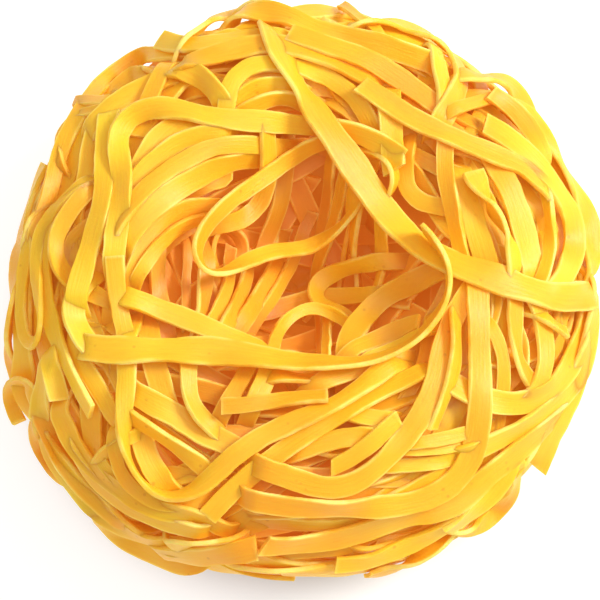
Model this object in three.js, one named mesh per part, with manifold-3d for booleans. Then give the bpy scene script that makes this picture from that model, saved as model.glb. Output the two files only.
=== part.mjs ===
// A nest of dry pasta ribbons: one long-strand heap, wound round a hollow and dried flat on its base.
// Millimetres, +Z up, the origin in the middle of the flat base.
//
// The nest is one solid. A smooth "bed" has the nest's mean form: a pressed ball with a hollow let into its top.
// Ribbons then lie over the bed one after another, each draped over those that were laid before it, and all of
// them are fused with the bed.

import * as THREE from 'three';
import { mergeVertices } from 'three/addons/utils/BufferGeometryUtils.js';
import Module from 'manifold-3d';

const wasm = await Module();
wasm.setup();

// ---------------------------------------------------------------- driving dimensions

const BED_RADIUS = 34.8;          // half of the width, without the ribbons that lie on it
const BED_HALF_HEIGHT = 19.4;
const BED_MIDDLE = 18.4;          // height of the widest level; the bottom is cut off flat at z = 0
const BED_FULLNESS = 2.5;         // 2 is an ellipsoid, more is squarer
const HOLLOW = { x: 2, y: 0.5, depth: 15.5, spread: 12.5 };
const BED_CENTRE = new THREE.Vector3(0, 0, 10);   // every ray from here meets the bed's surface once
const CORE_MERIDIANS = 28;
const CORE_RINGS = 14;

const RIBBON_WIDTH = 2.9;
const RIBBON_THICKNESS = 0.65;
const FUSE_DEPTH = 0.2;           // how far a ribbon sinks into what it lies on
const TOP_LAYER = 1.4;            // usual height of the top ribbons' middle over the bed
const TALLEST_TOP = 3.2;          // no ribbon's middle is pushed up further than this by what it lies on
const TALLEST_WINDING = 1.5;
const TURN_ON_EDGE = 5;           // a ribbon that turns on this radius leans 45 degrees
const TURN_SMOOTHINGS = 6;        // rounds of averaging a ribbon's turns before it leans
const TUCK_LENGTH = 5;            // a ribbon's hidden end runs on this far and dives into the heap
const TUCK_DEPTH = 2.6;
const PULLS = 10;                 // rounds of pulling a ribbon tight over what it lies on
const SAG = 0.02;                 // how far a station hangs below the middle of its neighbours

const STATION = 1;                // spacing along a ribbon while it is draped
const BEND_TOLERANCE = 0.5;       // how far a straight facet may leave the draped line
const TWIST_TOLERANCE = 37;       // how far a facet may twist, degrees
const LONGEST_FACET = 12;
const RELIEF_CELL = 0.9;          // size of the cells that keep the height of what has been laid
const NEWTON_STEPS = 6;
const HALVINGS = 40;
const SLOPE_STEP = 0.02;
const WELD = 1e-4;                // corners closer than this are one

// The top ribbons are laid out on a plane that faces a viewer, who looks down on the nest at this angle.
const SIGHT_ELEVATION = THREE.MathUtils.degToRad(75);
const SIGHT_DISTANCE = 420;
const SIGHT_STEP = 0.3;
const SIGHT_ACROSS = new THREE.Vector3(1, 0, 0);
const SIGHT_UP = new THREE.Vector3(0, Math.sin(SIGHT_ELEVATION), Math.cos(SIGHT_ELEVATION));
const SIGHT_TARGET = new THREE.Vector3(0, 0, 19).addScaledVector(SIGHT_UP, -1.26);
const EYE = SIGHT_TARGET.clone().add(
  new THREE.Vector3(0, -Math.cos(SIGHT_ELEVATION), Math.sin(SIGHT_ELEVATION)).multiplyScalar(SIGHT_DISTANCE));

// Routes of the largest ribbons on top, the lowest first. Each has the state of its two ends, its places across and up
// the sight plane, with a height over the bed as a third number where the ribbon stands clear of the heap, and its
// width where this isn't the usual one.
const TUCKED = [true, true];
const CUT_FIRST = [false, true];
const CUT_LAST = [true, false];
const CUT = [false, false];
const ROUTES = {
  hollow_back: [TUCKED, [[-9.3, 24.3], [-8.8, 27], [-3, 29.7], [4.5, 28], [8.8, 22.8]]],
  hollow_left_low: [TUCKED, [[-21.5, 7.5], [-18.5, 11.5], [-14.5, 14.3], [-6, 17.6]]],
  hollow_left_high: [TUCKED, [[-22.3, 9.5], [-19.8, 13.7], [-11.5, 19], [-3, 19.3]]],
  hollow_curl: [TUCKED, [[9.3, 4.6], [3.2, 3.2], [1.8, 1.6], [2.4, 0.2], [6, -1.3]]],
  hollow_right: [TUCKED, [[17.5, 3.6], [10.5, 0.4], [6.3, -4], [5.8, -6.3]]],
  hollow_wall: [TUCKED, [[11.3, 23.5], [11.4, 20.5], [12, 15], [11, 9], [9.3, -0.2]]],
  front_low: [TUCKED, [[-20.5, -11.6], [-12, -16.2], [-8.5, -17.8]]],
  front_lower: [TUCKED, [[-20.8, -14.6], [-17, -17.3], [-11, -22]]],
  back_left: [CUT_FIRST, [[-17.9, 32.8], [-10, 32.2], [-3, 33]]],
  back_arc: [TUCKED, [[-14, 29.8], [-6, 31.7], [1, 31.3], [9, 27.8]]],
  left_handle: [TUCKED, [[-17.8, 31], [-21.2, 30.8], [-25.3, 27], [-29, 22.3], [-31.6, 15.5], [-33.6, 9]], 1.9],
  left_far: [TUCKED, [[-34.6, 8.5], [-35.8, 0], [-35.6, -8], [-34.6, -11]]],
  left_curled_end: [CUT_LAST, [[-34.2, -7], [-35.9, -10], [-35.6, -13], [-34.2, -16.3]]],
  left_long: [CUT_LAST, [[-27.3, 14.3], [-32.6, 7.5], [-32.2, -0.5], [-29, -8.5], [-25.4, -14.4]]],
  left_front: [TUCKED, [[-30, -12.5], [-27, -20], [-20, -25.3], [-13, -26.8]]],
  left_front_low: [TUCKED, [[-28.6, -18.5], [-21.5, -25.9], [-13, -28.9]]],
  front_left_edge: [TUCKED, [[-28.5, -23.5], [-21, -29.3], [-14, -31.3]]],
  front_left_foot: [CUT_LAST, [[-17.5, -31.7], [-13.7, -32.2], [-4.8, -30.9]], 3.2],
  back_loop: [CUT_LAST, [[-14, 33.2], [-10, 35.7], [-6, 36.9], [0, 35], [8, 32.6], [16.3, 29.8]]],
  back_right_bend: [TUCKED, [[8, 35], [12.5, 34.6], [19, 30.7], [19.8, 26.5], [18, 23]]],
  right_inner: [TUCKED, [[18.2, 19], [18.2, 15.5], [19.8, 8], [20.2, 5.5]]],
  right_shoulder: [CUT_FIRST, [[6.8, 27.3], [13, 23.3], [25, 18], [30.8, 14]]],
  right_twist: [TUCKED, [[24.5, 17], [28, 10], [29.2, 3.8]]],
  right_outer: [CUT_FIRST, [[22.2, 22], [28, 18.3], [32.5, 12], [34.8, 5]]],
  right_edge: [TUCKED, [[21.5, 27.3], [28.3, 23.8], [33.5, 16.4], [36.2, 8.5], [37.2, 2]]],
  right_ring: [TUCKED, [[27.3, -1.5], [27.2, -5], [29.3, -10.5]]],
  right_front_rise: [TUCKED, [[23, -12.8], [30, -12], [35, -6.5], [36.3, -3]]],
  right_front_arc: [TUCKED, [[37, 1], [35.5, -7.5], [30, -14.7], [22.5, -18.8]]],
  right_front_edge: [CUT_LAST, [[35.7, -9], [34, -13], [29.6, -21.6]]],
  front_band: [CUT_LAST, [[32, -14.8], [25, -20.3], [18, -25.2], [8, -28.8], [-5.5, -30.8]]],
  front_right_edge: [TUCKED, [[26.8, -21], [22.8, -27], [20, -29]]],
  front_edge_low: [CUT_FIRST, [[7.7, -34.4], [14, -32.6], [20, -28.8]], 2.4],
  front_edge: [TUCKED, [[3.8, -33.3], [8, -33], [12, -31.5], [19, -27.8]]],
  left_rise: [TUCKED, [[-24, 23], [-24.6, 13], [-27.9, 0.8]]],
  left_rise_inner: [TUCKED, [[-21, 21.8], [-21.6, 18], [-22.8, 9], [-21.8, -4.8]]],
  hollow_arch: [TUCKED, [[-25.5, 17.5], [-24.3, 21.3], [-18.5, 24.3], [-10.5, 22.7], [-1, 21.9], [12.5, 18.6]]],
  hollow_loop: [TUCKED, [[1.5, 19.3], [-5, 14.6, 3], [-10.5, 9.8, 4], [-12.9, 5, 3], [-10, 3.3, 3], [-2, 6.1, 4.5],
    [6.5, 10.5, 3]], 2.1],
  front_steep: [TUCKED, [[-20.2, -0.4], [-13, -3.2], [-5, -6]]],
  front_rising: [CUT_FIRST, [[-12, -27.4], [-6.3, -21.9], [3.5, -15], [15, -9]], 2.5],
  front_bowl: [TUCKED, [[-21.7, -8], [-22, -17.5], [-20, -22.7], [-15, -24.5], [-8, -19.3], [1, -14.5],
    [10.5, -8.5]], 2.5],
  front_sweep: [TUCKED, [[20.8, 0.6], [17.7, -6], [16.3, -12], [11, -19.5], [5, -23.5], [-4, -21.3]], 2.7],
  front_right_sweep: [TUCKED, [[22.2, 1.5], [22.5, -13.5], [18, -23.9], [10, -25.9], [-5.5, -25.2]]],
  long_sweep: [TUCKED, [[-3.9, 35.6], [-1.8, 29.7], [1.7, 23.6, 3], [5.8, 16.9, 4.5], [10.3, 10.8, 4], [13.8, 7.3, 3],
    [24, 2.9], [36.5, 0.6]]],
  crossbar: [CUT_LAST, [[-27.8, -5.7], [-18, -6.3], [-4, -6.7, 3.5], [4, -7.3, 3.5], [11, -6.4, 3], [16.6, -1.5, 4],
    [17.8, 2.7, 4.5], [13.8, 9.3, 4.5]], 3.5],
};

// Ribbons that go round the sides and under the nest, where the routes above leave it bare.
const WINDINGS = 19;
const WINDING_SEED = 7;
const WINDING_TILT = [0.05, 0.42];       // lean of a winding's axis from upright, radians
const WINDING_LATITUDE = [-0.45, 0.5];   // where it runs, as an angle over the bed centre's level
const WINDING_SWEEP = [1.7, 2.9];        // how far round it goes, radians
const WINDING_WOBBLE = 0.09;
const WOBBLES = 2.3;                     // of them to a radian round
const GOLDEN_TURN = 2.399963;            // from one winding's start to the next, radians
const WINDING_STEPS = 12;

// ---------------------------------------------------------------- the bed

// How deep the hollow is at a place: a bell-shaped dip.
function dip(x, y) {
  const away = Math.hypot(x - HOLLOW.x, y - HOLLOW.y) / HOLLOW.spread;
  return HOLLOW.depth * Math.exp(-away * away);
}

// The bed's implicit form: a superellipsoid, 0 on the surface, with its upper half let down by the dip.
function bedValue(p) {
  const above = p.z > BED_MIDDLE ? dip(p.x, p.y) : 0;
  const wide = Math.hypot(p.x, p.y) / BED_RADIUS;
  const high = Math.abs(p.z + above - BED_MIDDLE) / BED_HALF_HEIGHT;
  return Math.pow(wide ** BED_FULLNESS + high ** BED_FULLNESS, 1 / BED_FULLNESS) - 1;
}

function bedSlope(p) {
  const along = (axis) => {
    const back = p.clone();
    const ahead = p.clone();
    back[axis] -= SLOPE_STEP;
    ahead[axis] += SLOPE_STEP;
    return (bedValue(ahead) - bedValue(back)) / (2 * SLOPE_STEP);
  };
  return new THREE.Vector3(along('x'), along('y'), along('z'));
}

const bedNormal = (p) => bedSlope(p).normalize();

// Signed distance to the bed, to first order, which is enough close to it.
const bedDistance = (p) => bedValue(p) / bedSlope(p).length();

// The bed's point under a point near it, by Newton steps down the slope.
function ontoBed(p) {
  const found = p.clone();
  for (let turn = 0; turn < NEWTON_STEPS; turn += 1) {
    found.addScaledVector(bedNormal(found), -bedDistance(found));
  }
  return found;
}

// The bed's point in a direction from its centre, by halving.
function bedAlong(direction) {
  let inside = 0;
  let outside = 2 * BED_RADIUS;
  for (let turn = 0; turn < HALVINGS; turn += 1) {
    const middle = (inside + outside) / 2;
    const probe = BED_CENTRE.clone().addScaledVector(direction, middle);
    if (bedValue(probe) < 0) inside = middle;
    else outside = middle;
  }
  return BED_CENTRE.clone().addScaledVector(direction, inside);
}

// Where the sight line through a place on the sight plane first comes within a height of the bed, or, where it
// passes the bed by, the line's nearest point.
function sighted([across, up, height = TOP_LAYER]) {
  const through = SIGHT_TARGET.clone().addScaledVector(SIGHT_ACROSS, across).addScaledVector(SIGHT_UP, up);
  const direction = through.sub(EYE).normalize();
  const at = (far) => EYE.clone().addScaledVector(direction, far);
  const reach = BED_RADIUS + BED_HALF_HEIGHT;
  let nearest = at(SIGHT_DISTANCE);
  let gap = Infinity;
  for (let far = SIGHT_DISTANCE - reach; far < SIGHT_DISTANCE + reach; far += SIGHT_STEP) {
    const probe = at(far);
    const distance = bedDistance(probe);
    if (distance < height) return probe;
    if (distance < gap) {
      gap = distance;
      nearest = probe;
    }
  }
  return nearest;
}

// ---------------------------------------------------------------- draping

// The height of what has been laid over the bed so far, kept in small cells of space that hold the bed's surface.
class Relief {
  constructor(cell) {
    this.cell = cell;
    this.heights = new Map();
  }

  key(p) {
    return [p.x, p.y, p.z].map((value) => Math.floor(value / this.cell)).join(',');
  }

  at(p) {
    return this.heights.get(this.key(p)) ?? 0;
  }

  raise(p, height) {
    if (height > this.at(p)) this.heights.set(this.key(p), height);
  }
}

const relief = new Relief(RELIEF_CELL);

// Averages each value with its neighbours, a number of times over.
function smoothed(values, times) {
  let line = values;
  for (let turn = 0; turn < times; turn += 1) {
    line = line.map((value, i) => (line[Math.max(i - 1, 0)] + 2 * value + line[Math.min(i + 1, line.length - 1)]) / 4);
  }
  return line;
}

// The height of a guide curve's place that stands this clear of the bed: none up to the top layer's usual height, and
// all of it from twice that on.
function standing(clear) {
  return clear - TOP_LAYER * (1 - THREE.MathUtils.clamp(clear / TOP_LAYER - 1, 0, 1));
}

// Lays a ribbon along a guide curve. Its stations have a place, a tangent, and a lean out of the bed's own slope:
// a flat ribbon bends only across its face, so it leans over where it turns, and it stands on edge in a tight turn.
// Its height is that of a stretched string over what lies under it, up to the tallest that is given, or that of the
// guide curve where this stands clear. An end that is tucked runs on and dives into the heap.
function drape(points, tallest, [tuckFirst, tuckLast], width) {
  const runOn = (end, before) => end.clone().addScaledVector(end.clone().sub(before).normalize(), TUCK_LENGTH);
  const guidePoints = points.slice();
  if (tuckFirst) guidePoints.unshift(runOn(points[0], points[1]));
  if (tuckLast) guidePoints.push(runOn(points[points.length - 1], points[points.length - 2]));
  const guide = new THREE.CatmullRomCurve3(guidePoints, false, 'centripetal');
  const count = Math.max(4, Math.ceil(guide.getLength() / STATION));
  const hung = guide.getSpacedPoints(count);
  const feet = hung.map(ontoBed);
  const normals = feet.map(bedNormal);
  const last = feet.length - 1;
  const tangents = feet.map((foot, i) => feet[Math.min(i + 1, last)].clone().sub(feet[Math.max(i - 1, 0)]).normalize());
  const sides = normals.map((normal, i) => normal.clone().cross(tangents[i]).normalize());
  const turns = tangents.map((tangent, i) => {
    const before = tangents[Math.max(i - 1, 0)];
    const after = tangents[Math.min(i + 1, last)];
    return after.clone().sub(before).dot(sides[i]) / (2 * STATION);
  });
  const leans = smoothed(turns, TURN_SMOOTHINGS).map((turn) => -Math.atan(turn * TURN_ON_EDGE));
  const across = [-0.5, -0.25, 0, 0.25, 0.5].map((share) => share * width);
  const floors = feet.map((foot, i) => Math.min(tallest, Math.max(...across.map((offset) => {
    const under = relief.at(foot.clone().addScaledVector(sides[i], offset * Math.cos(leans[i])));
    return under - offset * Math.sin(leans[i]) + RIBBON_THICKNESS / 2 - FUSE_DEPTH;
  }))));
  const held = hung.map((place, i) => Math.max(floors[i], standing(bedDistance(place))));
  let heights = held.slice();
  for (let turn = 0; turn < PULLS; turn += 1) {
    heights = heights.map((height, i) => {
      const level = (heights[Math.max(i - 1, 0)] + heights[Math.min(i + 1, last)]) / 2;
      return Math.max(held[i], level - SAG);
    });
  }
  heights = heights.map((height, i) => {
    const fromFirst = tuckFirst ? 1 - THREE.MathUtils.smoothstep(i * STATION, 0, TUCK_LENGTH) : 0;
    const fromLast = tuckLast ? 1 - THREE.MathUtils.smoothstep((last - i) * STATION, 0, TUCK_LENGTH) : 0;
    return height - (height + TUCK_DEPTH) * Math.max(fromFirst, fromLast);
  });
  feet.forEach((foot, i) => across.forEach((offset) => {
    for (const ahead of [-0.5, 0]) {
      const place = foot.clone().addScaledVector(sides[i], offset * Math.cos(leans[i]));
      place.addScaledVector(tangents[i], ahead * STATION);
      relief.raise(place, heights[i] + offset * Math.sin(leans[i]) + RIBBON_THICKNESS / 2);
    }
  }));
  return feet.map((foot, i) => {
    const place = foot.clone().addScaledVector(normals[i], heights[i]);
    const face = normals[i].clone().multiplyScalar(Math.cos(leans[i])).addScaledVector(sides[i], -Math.sin(leans[i]));
    return { place, face };
  });
}

// Keeps only the stations that the draped line needs, as far apart as the tolerance lets them be.
function thinned(stations) {
  const kept = [stations[0]];
  let from = 0;
  while (from < stations.length - 1) {
    let to = from + 1;
    while (to + 1 < stations.length && (to + 1 - from) * STATION <= LONGEST_FACET && fits(stations, from, to + 1)) {
      to += 1;
    }
    kept.push(stations[to]);
    from = to;
  }
  return kept;
}

function fits(stations, from, to) {
  const chord = new THREE.Line3(stations[from].place, stations[to].place);
  const near = new THREE.Vector3();
  for (let i = from + 1; i < to; i += 1) {
    chord.closestPointToPoint(stations[i].place, true, near);
    if (near.distanceTo(stations[i].place) > BEND_TOLERANCE) return false;
  }
  return stations[from].face.angleTo(stations[to].face) < THREE.MathUtils.degToRad(TWIST_TOLERANCE);
}

// ---------------------------------------------------------------- solids

function solidOf(geometry) {
  const bare = geometry.clone();
  bare.deleteAttribute('normal');
  bare.deleteAttribute('uv');
  const merged = mergeVertices(bare, WELD);
  return new wasm.Manifold(new wasm.Mesh({
    numProp: 3,
    vertProperties: Float32Array.from(merged.attributes.position.array),
    triVerts: Uint32Array.from(merged.index.array),
  }));
}

// A ribbon: a long box of four sides, whose slices are set on the stations.
function ribbon(stations, width) {
  const slices = stations.length - 1;
  const box = new THREE.BoxGeometry(width, RIBBON_THICKNESS, 1, 1, 1, slices);
  const corners = box.attributes.position;
  const frames = stations.map((station, i) => {
    const before = stations[Math.max(i - 1, 0)].place;
    const after = stations[Math.min(i + 1, slices)].place;
    const along = after.clone().sub(before).normalize();
    const side = station.face.clone().cross(along).normalize();
    return { place: station.place, side, face: along.clone().cross(side).normalize() };
  });
  for (let i = 0; i < corners.count; i += 1) {
    const frame = frames[Math.round((corners.getZ(i) + 0.5) * slices)];
    const corner = frame.place.clone();
    corner.addScaledVector(frame.side, corners.getX(i));
    corner.addScaledVector(frame.face, corners.getY(i));
    corners.setXYZ(i, corner.x, corner.y, corner.z);
  }
  return solidOf(box);
}

// The core: a ball of meridians and rings, each of its points pushed out to the bed's surface.
function core() {
  const ball = new THREE.SphereGeometry(1, CORE_MERIDIANS, CORE_RINGS);
  ball.rotateX(Math.PI / 2);
  const points = ball.attributes.position;
  for (let i = 0; i < points.count; i += 1) {
    const place = bedAlong(new THREE.Vector3().fromBufferAttribute(points, i).normalize());
    points.setXYZ(i, place.x, place.y, place.z);
  }
  return solidOf(ball);
}

// Everything above the table.
function aboveTable() {
  const size = 4 * BED_RADIUS;
  const box = new THREE.BoxGeometry(size, size, size);
  box.translate(0, 0, size / 2);
  return solidOf(box);
}

// A small seeded random source.
function randomFrom(seed) {
  let state = seed >>> 0;
  return () => {
    state = (state + 0x6d2b79f5) >>> 0;
    let mixed = Math.imul(state ^ (state >>> 15), 1 | state);
    mixed = (mixed + Math.imul(mixed ^ (mixed >>> 7), 61 | mixed)) ^ mixed;
    return ((mixed ^ (mixed >>> 14)) >>> 0) / 4294967296;
  };
}

const random = randomFrom(WINDING_SEED);
const within = ([low, high], share) => low + (high - low) * share;

// A winding's guide points: a small circle about a leaning axis, with a slow wobble up and down.
function winding(index) {
  const share = (index + 0.5) / WINDINGS;
  const tilt = within(WINDING_TILT, random());
  const heading = 2 * Math.PI * random();
  const axis = new THREE.Vector3(Math.sin(tilt) * Math.cos(heading), Math.sin(tilt) * Math.sin(heading), Math.cos(tilt));
  const first = new THREE.Vector3(0, 1, 0).cross(axis).normalize();
  const second = axis.clone().cross(first);
  const latitude = within(WINDING_LATITUDE, share);
  const start = GOLDEN_TURN * index;
  const sweep = within(WINDING_SWEEP, random());
  const phase = 2 * Math.PI * random();
  return Array.from({ length: WINDING_STEPS + 1 }, (_, i) => {
    const turn = start + (sweep * i) / WINDING_STEPS;
    const lift = latitude + WINDING_WOBBLE * Math.sin(WOBBLES * turn + phase);
    const direction = first.clone().multiplyScalar(Math.cos(turn) * Math.cos(lift));
    direction.addScaledVector(second, Math.sin(turn) * Math.cos(lift));
    direction.addScaledVector(axis, Math.sin(lift));
    return bedAlong(direction.normalize());
  });
}

// ---------------------------------------------------------------- the nest

// The largest body of a solid, without loose scraps and without hollows that fusing has sealed.
function largestBody(solid) {
  return solid.decompose().reduce((best, body) => (body.volume() > best.volume() ? body : best));
}

let nest = core();

function lay(guide, tallest, ends, width) {
  nest = nest.add(ribbon(thinned(drape(guide, tallest, ends, width)), width));
}

for (let index = 0; index < WINDINGS; index += 1) lay(winding(index), TALLEST_WINDING, CUT, RIBBON_WIDTH);
for (const [ends, places, width = RIBBON_WIDTH] of Object.values(ROUTES)) {
  lay(places.map(sighted), TALLEST_TOP, ends, width);
}
nest = largestBody(nest.intersect(aboveTable()));

const fused = nest.getMesh();
const geometry = new THREE.BufferGeometry();
geometry.setAttribute('position', new THREE.BufferAttribute(Float32Array.from(fused.vertProperties), 3));
geometry.setIndex(new THREE.BufferAttribute(Uint32Array.from(fused.triVerts), 1));
geometry.computeVertexNormals();

const driedPasta = new THREE.MeshStandardMaterial({ color: 0xf6bd37, roughness: 0.55, metalness: 0 });
const pastaNest = new THREE.Mesh(geometry, driedPasta);
pastaNest.name = 'pasta_nest';

const group = new THREE.Group();
group.add(pastaNest);

export default group;
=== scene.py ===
"""A nest of dry egg pasta: flat ribbons wound round a hollow, lying on a pale table.

The nest is worked out in millimetres and put into the meshes in metres. A smooth bed has its mean form.
Ribbons are draped over the bed one after another, each over those laid before it: first those deep in the
heap, then windings round the sides and underneath, partners of the top ribbons, more windings round the
sides, and last the ribbons that show on top.
"""

import math

import bpy
import numpy as np
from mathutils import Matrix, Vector


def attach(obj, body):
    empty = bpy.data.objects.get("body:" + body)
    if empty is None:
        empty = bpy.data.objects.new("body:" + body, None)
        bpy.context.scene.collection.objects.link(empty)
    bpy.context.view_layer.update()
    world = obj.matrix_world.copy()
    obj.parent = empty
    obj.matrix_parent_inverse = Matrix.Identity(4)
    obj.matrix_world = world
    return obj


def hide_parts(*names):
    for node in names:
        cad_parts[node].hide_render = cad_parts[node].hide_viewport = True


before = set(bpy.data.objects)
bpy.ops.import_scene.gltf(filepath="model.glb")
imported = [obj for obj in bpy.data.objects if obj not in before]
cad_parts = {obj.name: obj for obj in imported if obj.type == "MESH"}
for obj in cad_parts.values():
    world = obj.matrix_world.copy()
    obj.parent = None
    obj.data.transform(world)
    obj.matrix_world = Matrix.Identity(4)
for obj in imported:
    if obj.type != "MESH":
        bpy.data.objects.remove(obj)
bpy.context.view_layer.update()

NODE = "pasta_nest"
MM = 0.001

# ---------------------------------------------------------------- sizes, mm and radians

# The bed: a pressed ball with a bell-shaped hollow let into its top.
BED_RADIUS = 34.8
BED_HALF_HEIGHT = 19.4
BED_MIDDLE = 18.4            # height of its widest level
BED_FULLNESS = 2.5           # 2 is an ellipsoid, and more has fuller sides
BED_CENTRE = np.array([0.0, 0.0, 10.0])     # a place in it from which all of its surface is seen
HOLLOW_X = 2.0
HOLLOW_Y = 0.5
HOLLOW_DEPTH = 15.5
HOLLOW_SPREAD = 12.5
SLOPE_STEP = 0.02            # steps either way, for the bed's slope
NEWTON_STEPS = 6             # onto the bed from a place near it
HALVINGS = 40                # of the stretch in which a line from the bed's centre meets its surface

# The heart of the heap: the bed's form again, further in, with ridges like wound ribbons.
HEART_DEPTH = 5.5            # how far it lies under the bed
HEART_CLEARANCE = 0.3        # and its ridges a little more
HEART_RIDGE = 0.5            # half the height of a ridge
HEART_RIDGES = 42            # how fast the ridges' wave turns with elevation
HEART_SWAY = 1.6             # how far they sway up and down, as an angle of that wave
HEART_SWAYS = 3              # how often, once round the heap
HEART_SLANT = 5              # how fast the sways turn with elevation
HEART_MERIDIANS = 96
HEART_RINGS = 64

# A ribbon.
RIBBON_WIDTH = 2.9
RIBBON_THICKNESS = 0.62
WIDTH_WAVER = 0.12           # share by which the width wavers, before smoothing
WIDTH_SMOOTHING = 14
RAGGED_EDGE = 0.05           # how far either cut edge strays, before smoothing
RAGGED_SMOOTHING = 1
THICKNESS_WAVER = 0.1
THICKNESS_SMOOTHING = 3
CAMBER = (-0.16, 0.16)       # how far the middle of a section stands over or under its edges
SLANTEST_CUT = 24            # degrees off square
SHARP_ANGLE = math.radians(40)

# How a ribbon lies.
REST_DEPTH = 0.04            # how far it settles into what it lies on
TOP_LAYER = 1.4              # usual height of the top ribbons' middle over the bed
TALLEST_TOP = 3.0            # how far over the bed the ribbons under it may push it, in each layer
TALLEST_SIDE = 1.3
TALLEST_PARTNER = 0.3
TALLEST_DEEP = -1.3
TURN_ON_EDGE = 5.0           # a ribbon that turns on this radius leans 45 degrees
TURN_SMOOTHING = 6
TUCK_LENGTH = 6.0            # a hidden end runs on this far and dives into the heap
TUCK_DEPTH = 2.8
ROLL = 0.35                  # how much it rolls to and fro on its way, before smoothing
ROLL_SMOOTHING = 12
ROLL_SEED = 3
TIP_SHARE = 0.7              # how much of the slope under its edges it takes up
TIP_SMOOTHING = 10
STEEPEST_TIP = 0.7
STRETCHES = 16               # rounds of pulling it tight, each with a little slack
SLACK = 0.02
HEIGHT_SMOOTHING = 6
SLIDES = 2                   # rounds of sliding it along the lines of sight to where it's meant to show
SLIDE_SMOOTHING = 4
PROBES_ACROSS = 7            # places across it that feel what it lies on
STATION = 1.0                # spacing along it while it is draped
FINE_STATION = 0.65          # and in the meshes of the ribbons that show
COARSE_STATION = 1.3         # and of those deep in the heap
FEWEST_STEPS = 4             # from one station to the next
CURVE_STEPS = 24             # points of its curve from one guide point to the next

# The cells of space that hold the relief of what has been laid.
RELIEF_CELL = 0.9
RELIEF_MARGIN = 6.0          # how far they reach past the bed's sides
RELIEF_FLOOR = -8.0          # the height at which they begin
RELIEF_HEADROOM = 8.0        # how far they reach past the bed's top

# The lines of sight, and the sight plane that crosses them at right angles at the nest.
SIGHT_ELEVATION = math.radians(75)
SIGHT_DISTANCE = 420.0
SIGHT_STEP = 0.25
SIGHT_WIDTH = 75.47          # how much of the sight plane the frame takes in
SIGHT_LEVEL = 19.0           # height at which the sight plane crosses the nest's axis
SIGHT_DROP = 1.26            # and how far down the plane the frame's middle is from there
SENSOR_WIDTH = 36.0
SIGHT_ACROSS = np.array([1.0, 0.0, 0.0])
SIGHT_UP = np.array([0.0, math.sin(SIGHT_ELEVATION), math.cos(SIGHT_ELEVATION)])
SIGHT_BACK = np.array([0.0, -math.cos(SIGHT_ELEVATION), math.sin(SIGHT_ELEVATION)])
SIGHT_TARGET = np.array([0.0, 0.0, SIGHT_LEVEL]) - SIGHT_DROP * SIGHT_UP
EYE = SIGHT_TARGET + SIGHT_DISTANCE * SIGHT_BACK

# Widths of the top ribbons, and their leans in degrees from the first end to the last.
FULL = 2.9
SLIM = 2.2
THIN = 1.6
FINE = 1.1
FLAT = (0, 0)
ON_EDGE = (65, 65)

# Whether a ribbon's first and last end is tucked into the heap.
TUCKED = (True, True)
CUT_FIRST = (False, True)
CUT_LAST = (True, False)
CUT = (False, False)

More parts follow.
